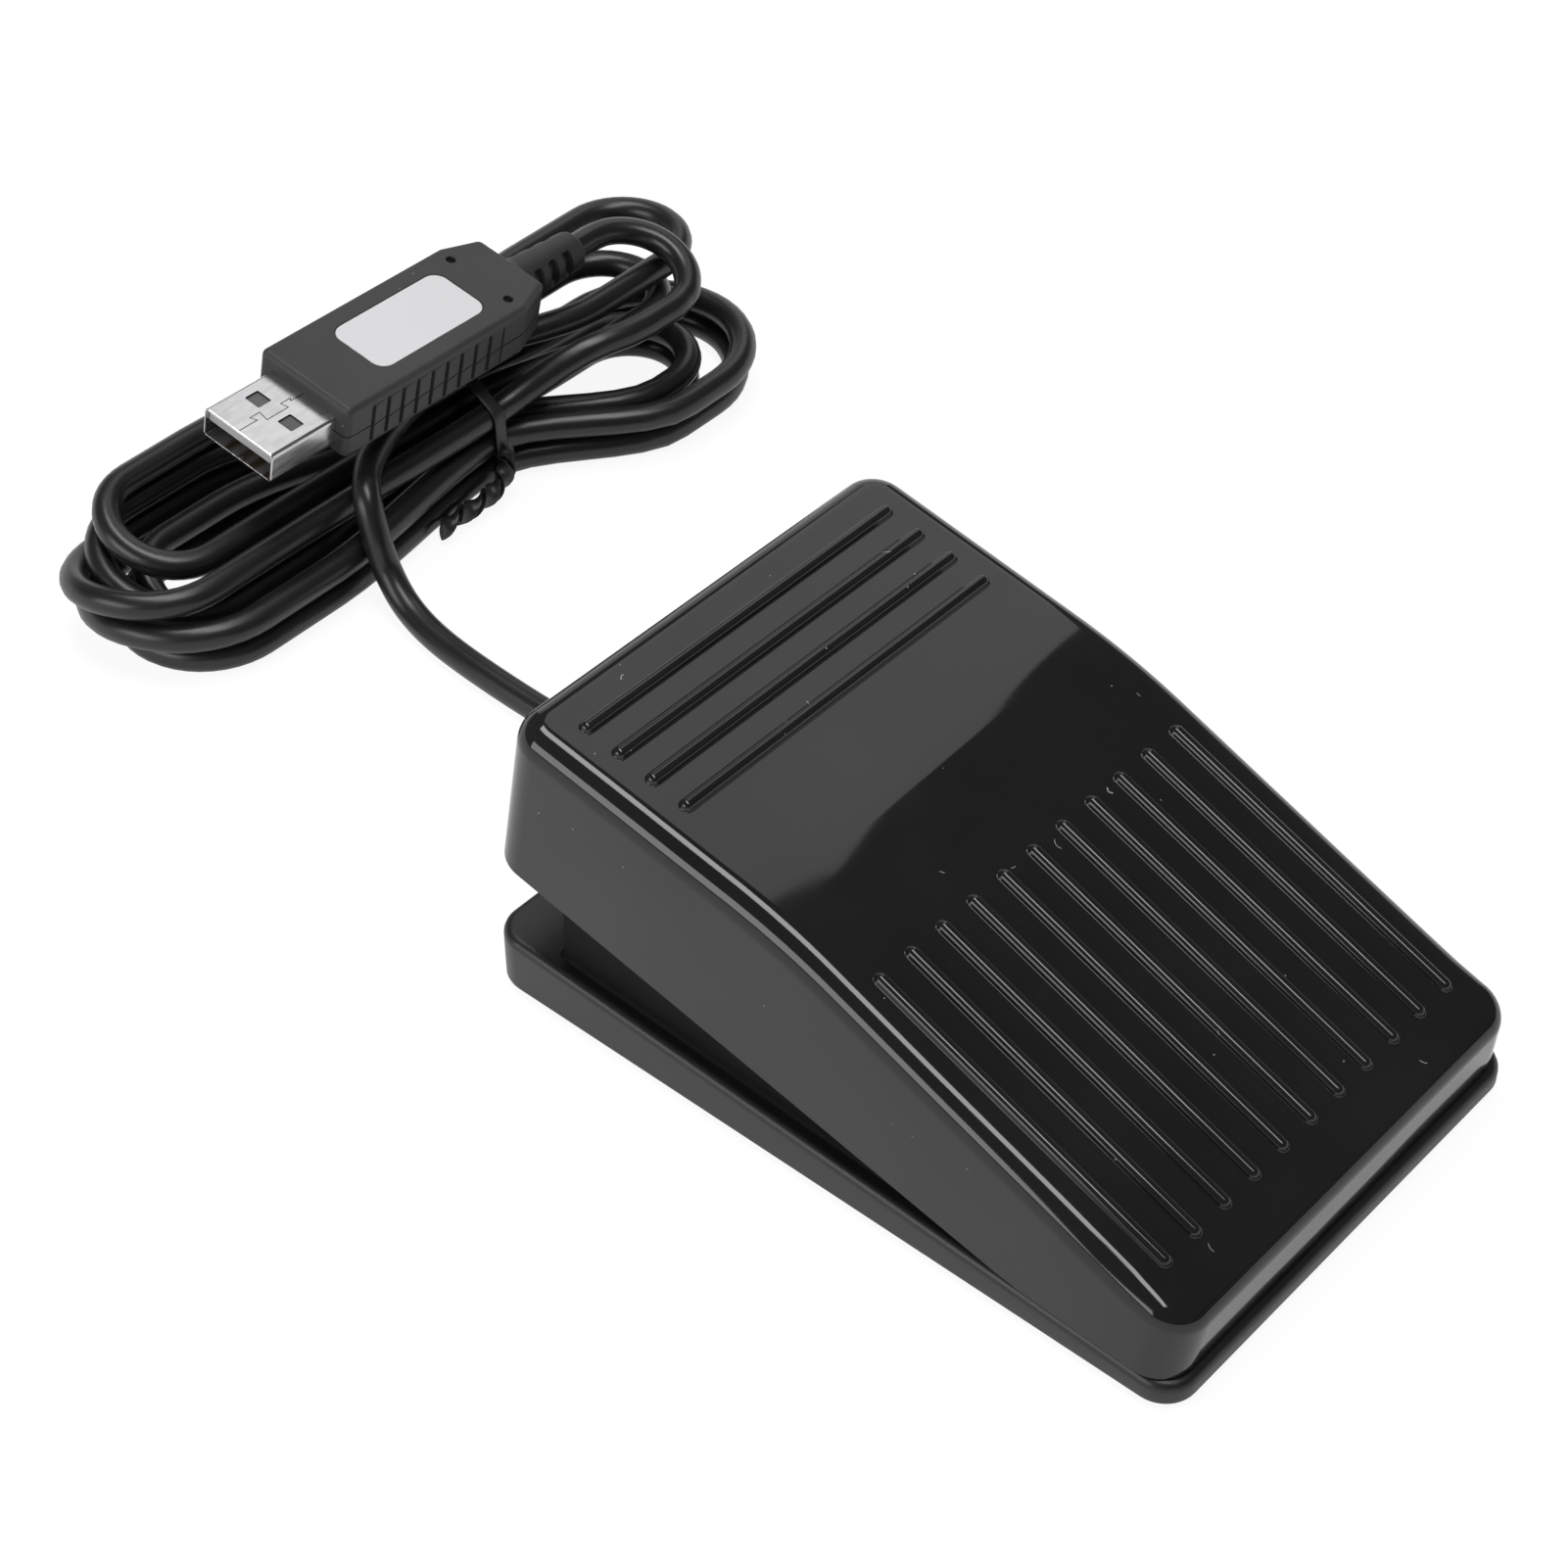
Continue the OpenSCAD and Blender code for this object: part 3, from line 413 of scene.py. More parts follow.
shell_nickel = plated("shell_nickel", (0.62, 0.62, 0.63), (0.16, 0.3), (0.12, 1.0, 1.0), 2e-6)
steel = plated("steel", (0.5, 0.51, 0.53), (0.25, 0.4), (1.0, 1.0, 0.2), 2e-6)
brass_plate = plated("brass_plate", (0.6, 0.55, 0.38), (0.25, 0.4), (1.0, 1.0, 0.3), 1e-6)
contact_gold = plated("contact_gold", (0.7, 0.45, 0.13), (0.2, 0.3), (0.2, 1.0, 1.0), 1e-6)
print("metal finishes: shell_nickel, steel, brass_plate, contact_gold")

# %% [markdown]
# Most pieces are shells that run round the object in rings: bottom edge, wall, rounded edge, top. A small
# class gathers points in millimetres, bridges one ring to the next with quads, and closes flat faces.
# Flat faces keep their own normals through the Weighted Normal modifier, so reflections stay straight.

# %% A form made of rings


class Form:
    """Points in millimetres and the faces between them."""

    def __init__(self):
        self.points = []
        self.faces = []
        self.flats = []

    def ring(self, points):
        """Adds points and returns their numbers."""
        start = len(self.points)
        self.points.extend(Vector(p) for p in points)
        return list(range(start, start + len(points)))

    def bridge(self, a, b, closed=True):
        """Quads from one ring to another of the same length."""
        count = len(a)
        for i in range(count if closed else count - 1):
            j = (i + 1) % count
            self.faces.append((a[i], a[j], b[j], b[i]))

    def loft(self, rings, closed=True):
        """Adds rings and bridges each to the next."""
        made = [self.ring(r) for r in rings]
        for a, b in zip(made, made[1:]):
            self.bridge(a, b, closed)
        return made

    def close(self, ring):
        """One flat face over a ring."""
        self.faces.append(tuple(ring))

    def solid(self, rings):
        """Lofts closed rings and closes both ends."""
        made = self.loft(rings)
        self.close(made[0][::-1])
        self.close(made[-1])
        return made

    def fill(self, *rings):
        """A flat face with holes: the first ring is its outline, the others are the holes."""
        self.flats.append(rings)


print("a form is drawn in millimetres")

# %% [markdown]
# A form becomes a mesh in one place. Holes in a flat face are filled between their outlines, which keeps
# every edge exact; a Boolean would cut the same holes, but leave thin faces that shade badly. Edges are
# marked sharp by their angle, and everything else shades smooth.

# %% From a form to a piece


def piece(name, form, body, paint, place=None, angle=35):
    """Turns a form into an object in metres that rides on a body."""
    mesh = bpy.data.meshes.new(name)
    move = place if place else Matrix.Identity(4)
    mesh.from_pydata([(move @ p) * MM for p in form.points], [], form.faces)
    work = bmesh.new()
    work.from_mesh(mesh)
    work.verts.ensure_lookup_table()
    for rings in form.flats:
        edges = []
        for ring in rings:
            for a, b in zip(ring, ring[1:] + ring[:1]):
                pair = (work.verts[a], work.verts[b])
                edges.append(work.edges.get(pair) or work.edges.new(pair))
        bmesh.ops.triangle_fill(work, use_beauty=True, edges=edges)
    bmesh.ops.remove_doubles(work, verts=work.verts, dist=1e-7)
    bmesh.ops.recalc_face_normals(work, faces=work.faces)
    work.to_mesh(mesh)
    work.free()
    mesh.shade_smooth()
    mesh.set_sharp_from_angle(angle=math.radians(angle))
    mesh.materials.append(paint)
    obj = bpy.data.objects.new(name, mesh)
    bpy.context.collection.objects.link(obj)
    flat = obj.modifiers.new("flat_faces", "WEIGHTED_NORMAL")
    flat.keep_sharp = True
    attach(obj, body)
    print(name, len(mesh.vertices), "points")
    return obj


def mix(a, b, t):
    """The share t of the way from a to b."""
    return a + (b - a) * t


def full_turn(steps):
    """Evenly stepped angles round a circle."""
    return [math.tau * i / steps for i in range(steps)]


def level(plan, z):
    """The points of a plan at one height."""
    return [(p.x, p.y, z) for p in plan]


print("a piece is made in metres, at", MM, "of its form")

# %% [markdown]
# The cord is one smooth line from the clamp inside the base, out of the toe, along the floor, up over the
# hank, round its loops and into the plug's boot. The route is written with the same formulas as the CAD
# source, sampled finer, and drawn as a bevelled curve so that it stays perfectly round.

# %% Cord route, in millimetres
base_l = 97.4
toe_y = base_l / 2
heel_y = -toe_y
cord_d = 3.8
cord_r = cord_d / 2
tie_t = 0.4
foot_proud = 0.6
row = cord_d + 0.45
row_z = [cord_r + tie_t + 0.05 + i * row for i in range(4)]
exit_x = 4.0
exit_z = foot_proud + 4
waist_x = 35.5
waist_y = toe_y + 73.6
waist_step = row + 0.55
end_step = row + 0.7
inner_r = 2.15 * cord_d
end_r = 8.2
left_mid = [toe_y + d for d in (75.8, 75.4, 80)]
right_mid = [toe_y + d for d in (66.8, 65.4, 74.5, 77.1)]
blend_x = (2, 59)
left_apex = (-16.6, -19.6, -15, -20, -23, -24)
right_apex = (74, 70, 71, 79, 79)
top_apex = 81.2
far_top = toe_y + 87.8
# Each run of the hank is (side of the waist, column on that side, level).
runs = [(-1, 0, 2), (1, 0, 2), (-1, 0, 1), (1, 0, 1), (-1, 0, 0), (1, 0, 0), (-1, 1, 0), (1, 1, 0),
        (-1, 1, 1), (1, 1, 1), (-1, 1, 2)]
tail_end = Vector((62, toe_y + 59.2, 5.8))
tail_climb = 1.35
run_steps = 25
turn_steps = 21
print("levels of the hank in mm:", [round(z, 2) for z in row_z])

# %% [markdown]
# The hank is the spare cord, wound to and fro and tied at its waist. A simulation could wind it, but would be
# hard to steer. Here a run blends from the waist out to its two ends, and a turn is half an ellipse that
# climbs to the next run, so each loop can be laid where the real one lies.

# %% Runs and turns


def smooth(t):
    """Eases from 0 to 1 with level ends."""
    u = min(max(t, 0), 1)
    return u * u * (3 - 2 * u)


def left_y(k):
    """Where a run meets its left turn."""
    return left_mid[k[2]] + k[0] * (end_r + end_step * k[1])


def right_y(k):
    """Where a run meets its right turn."""
    return right_mid[k[2]] + k[0] * (end_r + end_step * k[1])


def waist_at(k):
    """Where a run crosses the waist."""
    return waist_y + k[0] * waist_step * (0.5 + k[1])


def run_points(a, w, b, count, climb=1.0):
    """One run of the hank, from a through the waist w to b; climb lets it rise sooner."""
    points = []
    for i in range(count):
        x = mix(a[0], b[0], i / (count - 1))
        end = a if x < w[0] else b
        t = (w[0] - x) / (w[0] - blend_x[0]) if x < w[0] else (x - w[0]) / (blend_x[1] - w[0])
        points.append(Vector((x, mix(w[1], end[1], smooth(t)), mix(w[2], end[2], smooth(t * climb)))))
    return points


def turn_points(p, q, apex, count):
    """A half turn from p to q that reaches out to apex along X."""
    points = []
    for i in range(1, count + 1):
        f = i / (count + 1)
        a = math.pi * f
        climb = 1.5 * f if q[2] > p[2] else 1.15 * f - 0.07
        points.append(Vector((
            mix(p[0], q[0], f) + (apex - (p[0] + q[0]) / 2) * math.sin(a),
            (p[1] + q[1]) / 2 + (p[1] - q[1]) / 2 * math.cos(a),
            mix(p[2], q[2], smooth(climb)),
        )))
    return points


print("a run has", run_steps, "points and a turn has", turn_steps)

# %% Each run in its order


def half_left(i):
    """Half the width of the left turn that leads into run i."""
    if i == 0:
        return (far_top - left_y(runs[0])) / 2
    return (left_y(runs[i - 1]) - left_y(runs[i])) / 2


def half_right(i):
    """Half the width of the right turn that leads out of run i."""
    return (right_y(runs[i + 1]) - right_y(runs[i])) / 2


def run_of(i, count):
    """Points of run i, in the order in which the cord follows them."""
    k = runs[i]
    z = row_z[k[2]]
    near = k[0] < 0
    j = i // 2
    last_run = i == len(runs) - 1
    xa = left_apex[j] + half_left(i) if near else left_apex[j + 1] + half_left(i + 1)
    start = (xa, left_y(k), z)
    waist = (waist_x, waist_at(k), z)
    if last_run:
        return run_points(start, waist, tail_end + Vector((0, 0, z)), count, tail_climb)
    xb = right_apex[j] - half_right(i if near else i - 1)
    points = run_points(start, waist, (xb, right_y(k), z), count)
    return points if near else points[::-1]


print("runs below the top one:", len(runs))

# %% [markdown]
# Where the cord bends freely its line is given by a few keys. A curve with handles could join them, but its
# handles would need care too. This line goes through every key and leaves it along the way between the keys
# on both sides.

# %% A smooth line through keys


def through_keys(keys, steps):
    """A smooth line through the keys, without its last point."""
    ends = [2 * keys[0] - keys[1]] + keys + [2 * keys[-1] - keys[-2]]
    points = []
    for i in range(1, len(keys)):
        a, b, c, d = ends[i - 1:i + 3]
        for k in range(steps):
            t = k / steps
            points.append(0.5 * (2 * b + (c - a) * t + (2 * a - 5 * b + 4 * c - d) * t * t
                                 + (3 * b - a - 3 * c + d) * t * t * t))
    return points


print("points from three keys:", len(through_keys([Vector((i, 0, 0)) for i in range(3)], 9)))

# %% [markdown]
# The plug lies on the hank, turned and tilted a little. One matrix carries all of its pieces from their own
# upright frame, nose at zero and tail along +X, to where they lie.

# %% Plug place
shell_out = 11.4
shell_w = 12.0
shell_h = 4.5
house_l = 39.2
house_w = 16.0
house_up = 4.5
house_down = 3.6
house_x1 = shell_out + house_l
boot_l = 13.0
boot_x1 = house_x1 + boot_l
hank_top = row_z[3] + cord_r + tie_t
plug_at = Vector((-3, toe_y + 71.5, hank_top + house_down + 4.15))
plug_place = Matrix.Translation(plug_at)
for plug_turn, axis in ((2.3, "Z"), (3.2, "Y"), (10.2, "X")):
    plug_place = plug_place @ Matrix.Rotation(math.radians(plug_turn), 4, axis)
print("plug at", [round(v, 2) for v in plug_at], "mm")

# %% [markdown]
# The lead leaves the rubber bush in the toe wall, sinks to the floor, runs along it and climbs onto the hank.
# The line goes on along the top run, through the lower runs in their order and round the tail into the boot.
# Both parts are one line, so that no joint shows where they meet.

# %% Cord lead
top_z3 = row_z[3]
gland_out = 3.6
clamp_y = toe_y - 16.6
lead_in = clamp_y - 3.2
top_waist = Vector((waist_x, waist_y + waist_step / 2, top_z3))
top_start = Vector((waist_x - 1, top_waist.y, top_z3))
top_near_end = Vector((top_apex - inner_r, right_mid[3] - inner_r, top_z3))
top_near = run_points(top_start, top_waist, top_near_end, 6)
join = Vector((exit_x + 24, toe_y + 71.8, top_z3))
join_way = (top_near[1] - join).normalized()
lead_keys = [Vector((exit_x + x, toe_y + y, z)) for x, y, z in (
    (0, gland_out, exit_z), (0, gland_out + cord_d, exit_z), (0, 15, cord_r + 1), (0, 24, cord_r + 0.1),
    (0.3, 36, cord_r + 0.1), (1.2, 46, cord_r + 0.2), (2.6, 53, cord_r + 1), (3.6, 57.4, cord_r + 4),
    (4, 59.6, cord_r + 8.6), (5.4, 62.2, cord_r + 12.6), (9.4, 66, top_z3 + 0.1), (15.4, 69.3, top_z3))]
lead_keys.append(join - cord_d * join_way)
lead_line = [Vector((exit_x, lead_in, exit_z)), Vector((exit_x, toe_y - 6, exit_z))]
lead_line += through_keys(lead_keys, 9) + [lead_keys[-1], join]
print("lead points:", len(lead_line))

# %% Cord hank and tail
top_far = run_points(
    (left_apex[0] + half_left(0), far_top, top_z3), (waist_x, waist_y + waist_step * 1.5 + 0.6, top_z3),
    (top_apex - inner_r, right_mid[3] + inner_r, top_z3), run_steps)[::-1]
top_run = [p for p in run_points(top_start, top_waist, top_near_end, run_steps) if p.x >= top_near[1].x]
hank_line = [join + cord_d * join_way] + top_run
hank_line += turn_points(top_run[-1], top_far[0], top_apex, turn_steps) + top_far
for i in range(len(runs)):
    run = run_of(i, run_steps)
    apex = left_apex[i // 2] if i % 2 == 0 else right_apex[(i - 1) // 2]
    hank_line += turn_points(hank_line[-1], run[0], apex, turn_steps) + run
tail_a = hank_line[-1]
boot_mid = plug_place @ Vector((boot_x1 - 5, 0, 0))
boot_out = plug_place @ Vector((boot_x1 + 0.5 * cord_d, 0, 0))
boot_far = plug_place @ Vector((boot_x1 + cord_d, 0, 0))
tail_b = Vector((boot_far.x, tail_a.y, tail_a.z))
tail_r = (boot_far - tail_b).length / 2
tail_keys = [run_of(len(runs) - 1, 7)[-2], tail_a]
for a in range(20, 181, 20):
    turned = math.radians(a)
    out = Vector((tail_r * math.sin(turned), 0, 0))
    tail_keys.append(tail_b.lerp(boot_far, (1 - math.cos(turned)) / 2) + out)
tail_keys += [boot_out, boot_mid]
hank_line += through_keys(tail_keys, 9)[10:] + [boot_mid]
cord_line = lead_line + hank_line

# %% [markdown]
# A bevelled curve is the simplest way to a round cord: the line alone is stored, and Blender sweeps the
# circle. It stands for both CAD nodes of the cord and rides on the base.

# %% Cord
cord_data = bpy.data.curves.new("cord", "CURVE")
cord_data.dimensions = "3D"
cord_data.bevel_depth = cord_r * MM
cord_data.bevel_resolution = 5
spline = cord_data.splines.new("POLY")
spline.points.add(len(cord_line) - 1)
for point, spot in zip(spline.points, cord_line):
    point.co = (*(spot * MM), 1)
spline.use_smooth = True
cord_data.materials.append(cord_sheath)
cord = bpy.data.objects.new("cord", cord_data)
bpy.context.collection.objects.link(cord)
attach(cord, "base")
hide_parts("cable_lead", "cable_hank")
print("cord curve with", len(spline.points), "points")

# %% [markdown]
# Plan outlines of the base and of the pedal are rectangles with round corners. Every ring has the same
# points: an arc at each corner and chosen stations along the long sides, so rings of any size can be joined.

# %% Rounded outlines
corner_steps = 10
# Stations along a side stand closer together round the pedal's bend.
side_shares = sorted({i / 24 for i in range(25)} | {0.44 + i * 0.008 for i in range(26)})


def outline(half_x, y0, y1, radius):
    """Round-cornered outline, anticlockwise from the right side's toe end, and its outward directions."""
    points = []
    ways = []
    corners = ((1, y1, 0), (-1, y1, 90), (-1, y0, 180), (1, y0, 270))
    for index, (sx, y, start) in enumerate(corners):
        sy = 1 if y == y1 else -1
        for i in range(corner_steps + 1):
            a = math.radians(start + 90 * i / corner_steps)
            way = Vector((math.cos(a), math.sin(a), 0))
            points.append(Vector((sx * (half_x - radius), y - sy * radius, 0)) + way * radius)
            ways.append(way)
        if index in (1, 3):
            low, high = y0 + radius, y1 - radius
            for share in side_shares[1:-1]:
                run = mix(high, low, share) if index == 1 else mix(low, high, share)
                points.append(Vector((sx * half_x, run, 0)))
                ways.append(Vector((sx, 0, 0)))
    return points, ways


print("points in a ring:", len(outline(10, -10, 10, 2)[0]))

# %% [markdown]
# The pedal is a thin moulded cap: a flat toe face and a steeper heel face that meet in a soft bend, leaning
# walls, and a rounded top edge. For each point of the ring the wall and the top are two straight lines, and
# an arc that touches both makes the rounded edge, so its reflections run smoothly into the flat faces.

# %% Pedal profile
base_w = 64.0
rim_heel = 3.05
rim_toe = 7.85
rim_tan = (rim_toe - rim_heel) / base_l


def rim_z(y):
    """Height of the base's rim."""
    return foot_proud + rim_heel + (y - heel_y) * rim_tan


hinge_y = heel_y + 21.3
hinge_z = foot_proud + 10.5
press_angle = 8.0
kink_z = rim_z(hinge_y) + 0.15
rise_tan = math.tan(math.atan(rim_tan) + math.radians(press_angle + 0.8))
toe_slope = math.radians(10.5)
heel_slope = math.radians(22)
toe_tan = math.tan(toe_slope)
heel_tan = math.tan(heel_slope)
toe_edge_y = toe_y - 3.7
toe_edge_z = foot_proud + 40.8
bend_y = toe_y - 42.8
bend_z = toe_edge_z - (toe_edge_y - bend_y) * toe_tan
bend_r = 80.0
bend_reach = bend_r * math.tan((heel_slope - toe_slope) / 2)
bend_y1 = bend_y + bend_reach * math.cos(toe_slope)
bend_y0 = bend_y - bend_reach * math.cos(heel_slope)
bend_c = (bend_y1 + bend_r * math.sin(toe_slope),
          bend_z + (bend_y1 - bend_y) * toe_tan - bend_r * math.cos(toe_slope))


def top_z(y):
    """Height of the pedal's top, bend included."""
    if y >= bend_y1:
        return toe_edge_z + (y - toe_edge_y) * toe_tan
    if y <= bend_y0:
        return bend_z + (y - bend_y) * heel_tan
    return bend_c[1] + math.sqrt(bend_r ** 2 - (y - bend_c[0]) ** 2)


def cap_bottom_z(y):
    """Height of the cap's lower edge, which kinks at the hinge."""
    return kink_z + (y - hinge_y) * (rise_tan if y > hinge_y else rim_tan)


print("pedal top from", round(top_z(heel_y), 2), "to", round(top_z(toe_edge_y), 2), "mm")

# %% [markdown]
# The cap's skin is lofted from its lower lip, up the wall, round the edge and in to the top, and again inside
# to give it a real thickness. The edge is a little tighter at the heel, as on the real one.

# %% Pedal cap
edge_r_heel = 2.2
edge_r_toe = 3.2
cap_low, cap_ways = outline(base_w / 2 - 0.05, heel_y + 1, toe_y - 0.8, 4.5)
cap_edge, edge_ways = outline(base_w / 2 - 1, heel_y + 0.1, toe_edge_y, 4.6)
arc_steps = 10


def rounded_edge(low, edge, way, radius):
    """Points of the arc that touches the wall and the top, from the wall inwards."""
    slope = (top_z(edge.y - way.y * 0.01) - top_z(edge.y)) / 0.01
    drop = Vector(((low - edge).dot(way), low.z - edge.z)).normalized()
    inward = Vector((-1, slope)).normalized()
    opening = drop.angle(inward)
    reach = radius / math.tan(opening / 2)
    centre = (drop + inward).normalized() * (radius / math.sin(opening / 2))
    first = drop * reach - centre
    last = inward * reach - centre
    swing = first.angle(last)
    points = []
    for i in range(arc_steps + 1):
        t = i / arc_steps
        spoke = (first * math.sin((1 - t) * swing) + last * math.sin(t * swing)) / math.sin(swing)
        offset = centre + spoke
        points.append(Vector((edge.x, edge.y, edge.z)) + way * offset.x + Vector((0, 0, offset.y)))
    return points


print("cap edge radius from", edge_r_heel, "to", edge_r_toe, "mm")

# %% Cap skin
cap_form = Form()
lip_in = 0.3
wall_t = 2.0
heel_blend = 9
columns = []
for low, edge, way in zip(cap_low, cap_edge, edge_ways):
    low.z = cap_bottom_z(low.y)
    edge.z = top_z(edge.y)
    radius = mix(edge_r_heel, edge_r_toe, smooth((edge.y - heel_y) / heel_blend))
    columns.append(rounded_edge(low, edge, way, radius))
lip = [low - way * lip_in for low, way in zip(cap_low, cap_ways)]
lip_top = [mix(low, arc[0], 0.02) for low, arc in zip(cap_low, columns)]
wall_mid = [mix(low, arc[0], 0.5) for low, arc in zip(cap_low, columns)]
inner_low = [low - way * wall_t for low, way in zip(cap_low, cap_ways)]
rings = [inner_low, lip, lip_top, wall_mid] + [[c[i] for c in columns] for i in range(arc_steps + 1)]
made = cap_form.loft(rings)


def close_top(form, ring):
    """Fills the top: strips across between the long sides, and one flat face at each end."""
    sides = len(side_shares) - 2
    left0 = 2 * (corner_steps + 1)
    right0 = left0 + sides + 2 * (corner_steps + 1)
    left = [ring[left0 - 1]] + ring[left0:left0 + sides] + [ring[left0 + sides]]
    right = ([ring[right0 - 1]] + ring[right0:right0 + sides] + [ring[0]])[::-1]
    form.bridge(left, right, closed=False)
    form.close(ring[:left0])
    form.close(ring[left0 + sides:right0])


close_top(cap_form, made[-1])
skin_t = 2.2
end_wall_t = 2.6
inner_top = []
for edge, way in zip(cap_edge, edge_ways):
    y = edge.y - way.y * end_wall_t
    inner_top.append((edge.x - way.x * skin_t, y, top_z(y) - skin_t))
inside = cap_form.ring(inner_top)
cap_form.bridge(made[0], inside)
close_top(cap_form, inside)
print("cap skin has", len(cap_form.faces), "faces")

# %% [markdown]
# The tread is a set of raised beads with round ends: four across the toe face and eleven along the slope.
# Each bead is a stack of long rings, one for each step of its section: a small hollow foot that runs out into
# the face, then a round back. The foot is what draws the fine second line along every bead.

# %% One bead
rib_w = 2.0
rib_h = 0.84
back_w = 1.7
foot_angle = math.radians(20)
sunk = 0.06


def bead_section():
    """Half of the bead's section, as distance from its middle line and height, from the foot up."""
    joint = Vector((back_w / 2 * math.cos(foot_angle), rib_h * math.sin(foot_angle)))
    steepness = rib_h / (back_w / 2 * math.tan(foot_angle))
    knee = Vector((joint.x + joint.y / steepness, 0))
    start = Vector((rib_w / 2, 0))
    section = [Vector((rib_w / 2 + sunk, -sunk))]
    for i in range(6):
        t = i / 6
        section.append(start * (1 - t) ** 2 + knee * 2 * t * (1 - t) + joint * t ** 2)
    for i in range(9):
        a = mix(foot_angle, math.radians(88), i / 8)
        section.append(Vector((back_w / 2 * math.cos(a), rib_h * math.sin(a))))
    return section


def bead(form, start, end, up):
    """A bead from start to end, standing along up."""
    along = (end - start).normalized()
    side = up.cross(along)
    first = start + along * (rib_w / 2)
    last = end - along * (rib_w / 2)
    rings = []
    for reach, height in bead_section():
        ring = []
        for middle, turned in ((last, 0), (first, 180)):
            for a in range(-90, 91, 15):
                angle = math.radians(a + turned)
                ring.append(middle + up * height + (along * math.cos(angle) + side * math.sin(angle)) * reach)
        rings.append(ring)
    form.solid(rings)


print("steps in a bead's section:", len(bead_section()))

# %% Tread


def tread_point(x, y):
    """A point on the pedal's top."""
    return Vector((x, y, top_z(y)))


toe_up = Vector((0, -math.sin(toe_slope), math.cos(toe_slope)))
heel_up = Vector((0, -math.sin(heel_slope), math.cos(heel_slope)))
cross_half = base_w / 2 - 6
cross_step = 4.82
for i in range(4):
    y = toe_y - 10.7 - i * cross_step
    bead(cap_form, tread_point(-cross_half, y), tread_point(cross_half, y), toe_up)
long_y0 = heel_y + 6
long_y1 = bend_y - 9.2
long_step = 5.156
for i in range(11):
    x = (i - 5) * long_step
    bead(cap_form, tread_point(x, long_y0), tread_point(x, long_y1), heel_up)
print("beads are", rib_w, "mm wide and", rib_h, "mm high")

# %% [markdown]
# Under the skin the cap carries what makes it work: two lugs that swing on the hinge pins, a post that
# presses the switch and a boss for the return spring. They only show through the gap at the toe.

# %% Blocks and turned shapes


def block(form, x0, x1, y0, y1, z0, z1, soft=0.3):
    """A box with its upright edges rounded a little."""
    rings = []
    for z, inset in ((z0, soft), (z0 + soft, 0), (z1 - soft, 0), (z1, soft)):
        plan = []
        for cx, cy, start in ((x1, y1, 0), (x0, y1, 90), (x0, y0, 180), (x1, y0, 270)):
            mid_x = cx - soft if cx == x1 else cx + soft
            mid_y = cy - soft if cy == y1 else cy + soft
            for a in (0, 45, 90):
                angle = math.radians(start + a)
                reach = max(soft - inset, 0.02)
                plan.append((mid_x + reach * math.cos(angle), mid_y + reach * math.sin(angle), z))
        rings.append(plan)
    form.solid(rings)


def drum(form, centre, axis, profile, steps=32):
    """A turned shape: profile is (distance along axis, radius)."""
    axis = Vector(axis).normalized()
    side = axis.orthogonal().normalized()
    up = axis.cross(side)
    spokes = [side * math.cos(a) + up * math.sin(a) for a in full_turn(steps)]
    rings = []
    for along, radius in profile:
        middle = Vector(centre) + axis * along
        rings.append([middle + spoke * radius for spoke in spokes])
    form.solid(rings)


print("pins at", round(hinge_y, 2), round(hinge_z, 2), "mm")

# %% Cap inside


def round_plate(thick, radius, edge):
    """Profile of a round plate with softened rims."""
    return ((0, edge), (0.2, radius), (thick - 0.2, radius), (thick, edge))


lug_x0 = base_w / 2 - 8.8
lug_t = 3.6
plunger_y = hinge_y + 8.4
plunger_tip = 18.9
spring_y = toe_y - 34
spring_z0 = 3.0
seat_h = 9
spring_z1 = bend_z + (spring_y - bend_y) * toe_tan - skin_t / math.cos(toe_slope) - seat_h
for x0 in (-lug_x0 - lug_t, lug_x0):
    drum(cap_form, (x0, hinge_y, hinge_z), (1, 0, 0), round_plate(lug_t, 3.5, 3.4))
    block(cap_form, x0, x0 + lug_t, hinge_y - 3.4, hinge_y + 3.4, hinge_z, top_z(hinge_y) - 1.5)
block(cap_form, -2, 2, plunger_y - 1.2, plunger_y + 1.2, plunger_tip + 0.12, top_z(plunger_y) - 1.2)
drum(cap_form, (0, spring_y, spring_z1), (0, 0, 1),
     ((-3, 3.0), (-2.7, 3.3), (0.02, 3.3), (0.021, 6.0), (8.5, 6.0)))
pedal = piece("pedal_cap_skin", cap_form, "pedal", cap_gloss)
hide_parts("pedal_cap")

# %% [markdown]
# The base is a shallow tray: a slab that rises towards the toe, with a round rim, and an inner box that hides
# the mechanism and fills the dark gap below the pedal. It is one run of rings from the underside, up the
# outer wall, over the rim, along the ledge, up and over the box wall and down to the floor inside. The box
# is duller than the slab, because it isn't polished, and its colour is painted darker, as painted shade where
# the pedal shades it.

# %% Base tray
box_x = base_w / 2 - 2.4
box_heel = heel_y + 3.3
box_toe = toe_y - 9.2
box_wall = 1.8
box_top_heel = foot_proud + 8
box_top_toe = foot_proud + 14.5
floor_z = foot_proud + 1.8
slab_corner = 4.2
box_corner = 1.2
box_soft = 0.4
box_round = 0.3
rim_r = 1.1


def box_top_z(y):
    """Height of the inner box's upper edge."""
    return mix(box_top_heel, box_top_toe, (y - box_heel) / (box_toe - box_heel))


def ground(y):
    """The floor's height, for rings that are level."""
    return 0.0


def raised(plan, height, lift):
    """Puts each point of a plan at a lift over the height that belongs to its y."""
    return [(p.x, p.y, height(p.y) + lift) for p in plan]


def tray_ring(inset, height, lift):
    """A ring of the slab, moved inwards by inset."""
    radius = max(slab_corner - inset, 0.3)
    return raised(outline(base_w / 2 - inset, heel_y + inset, toe_y - inset, radius)[0], height, lift)


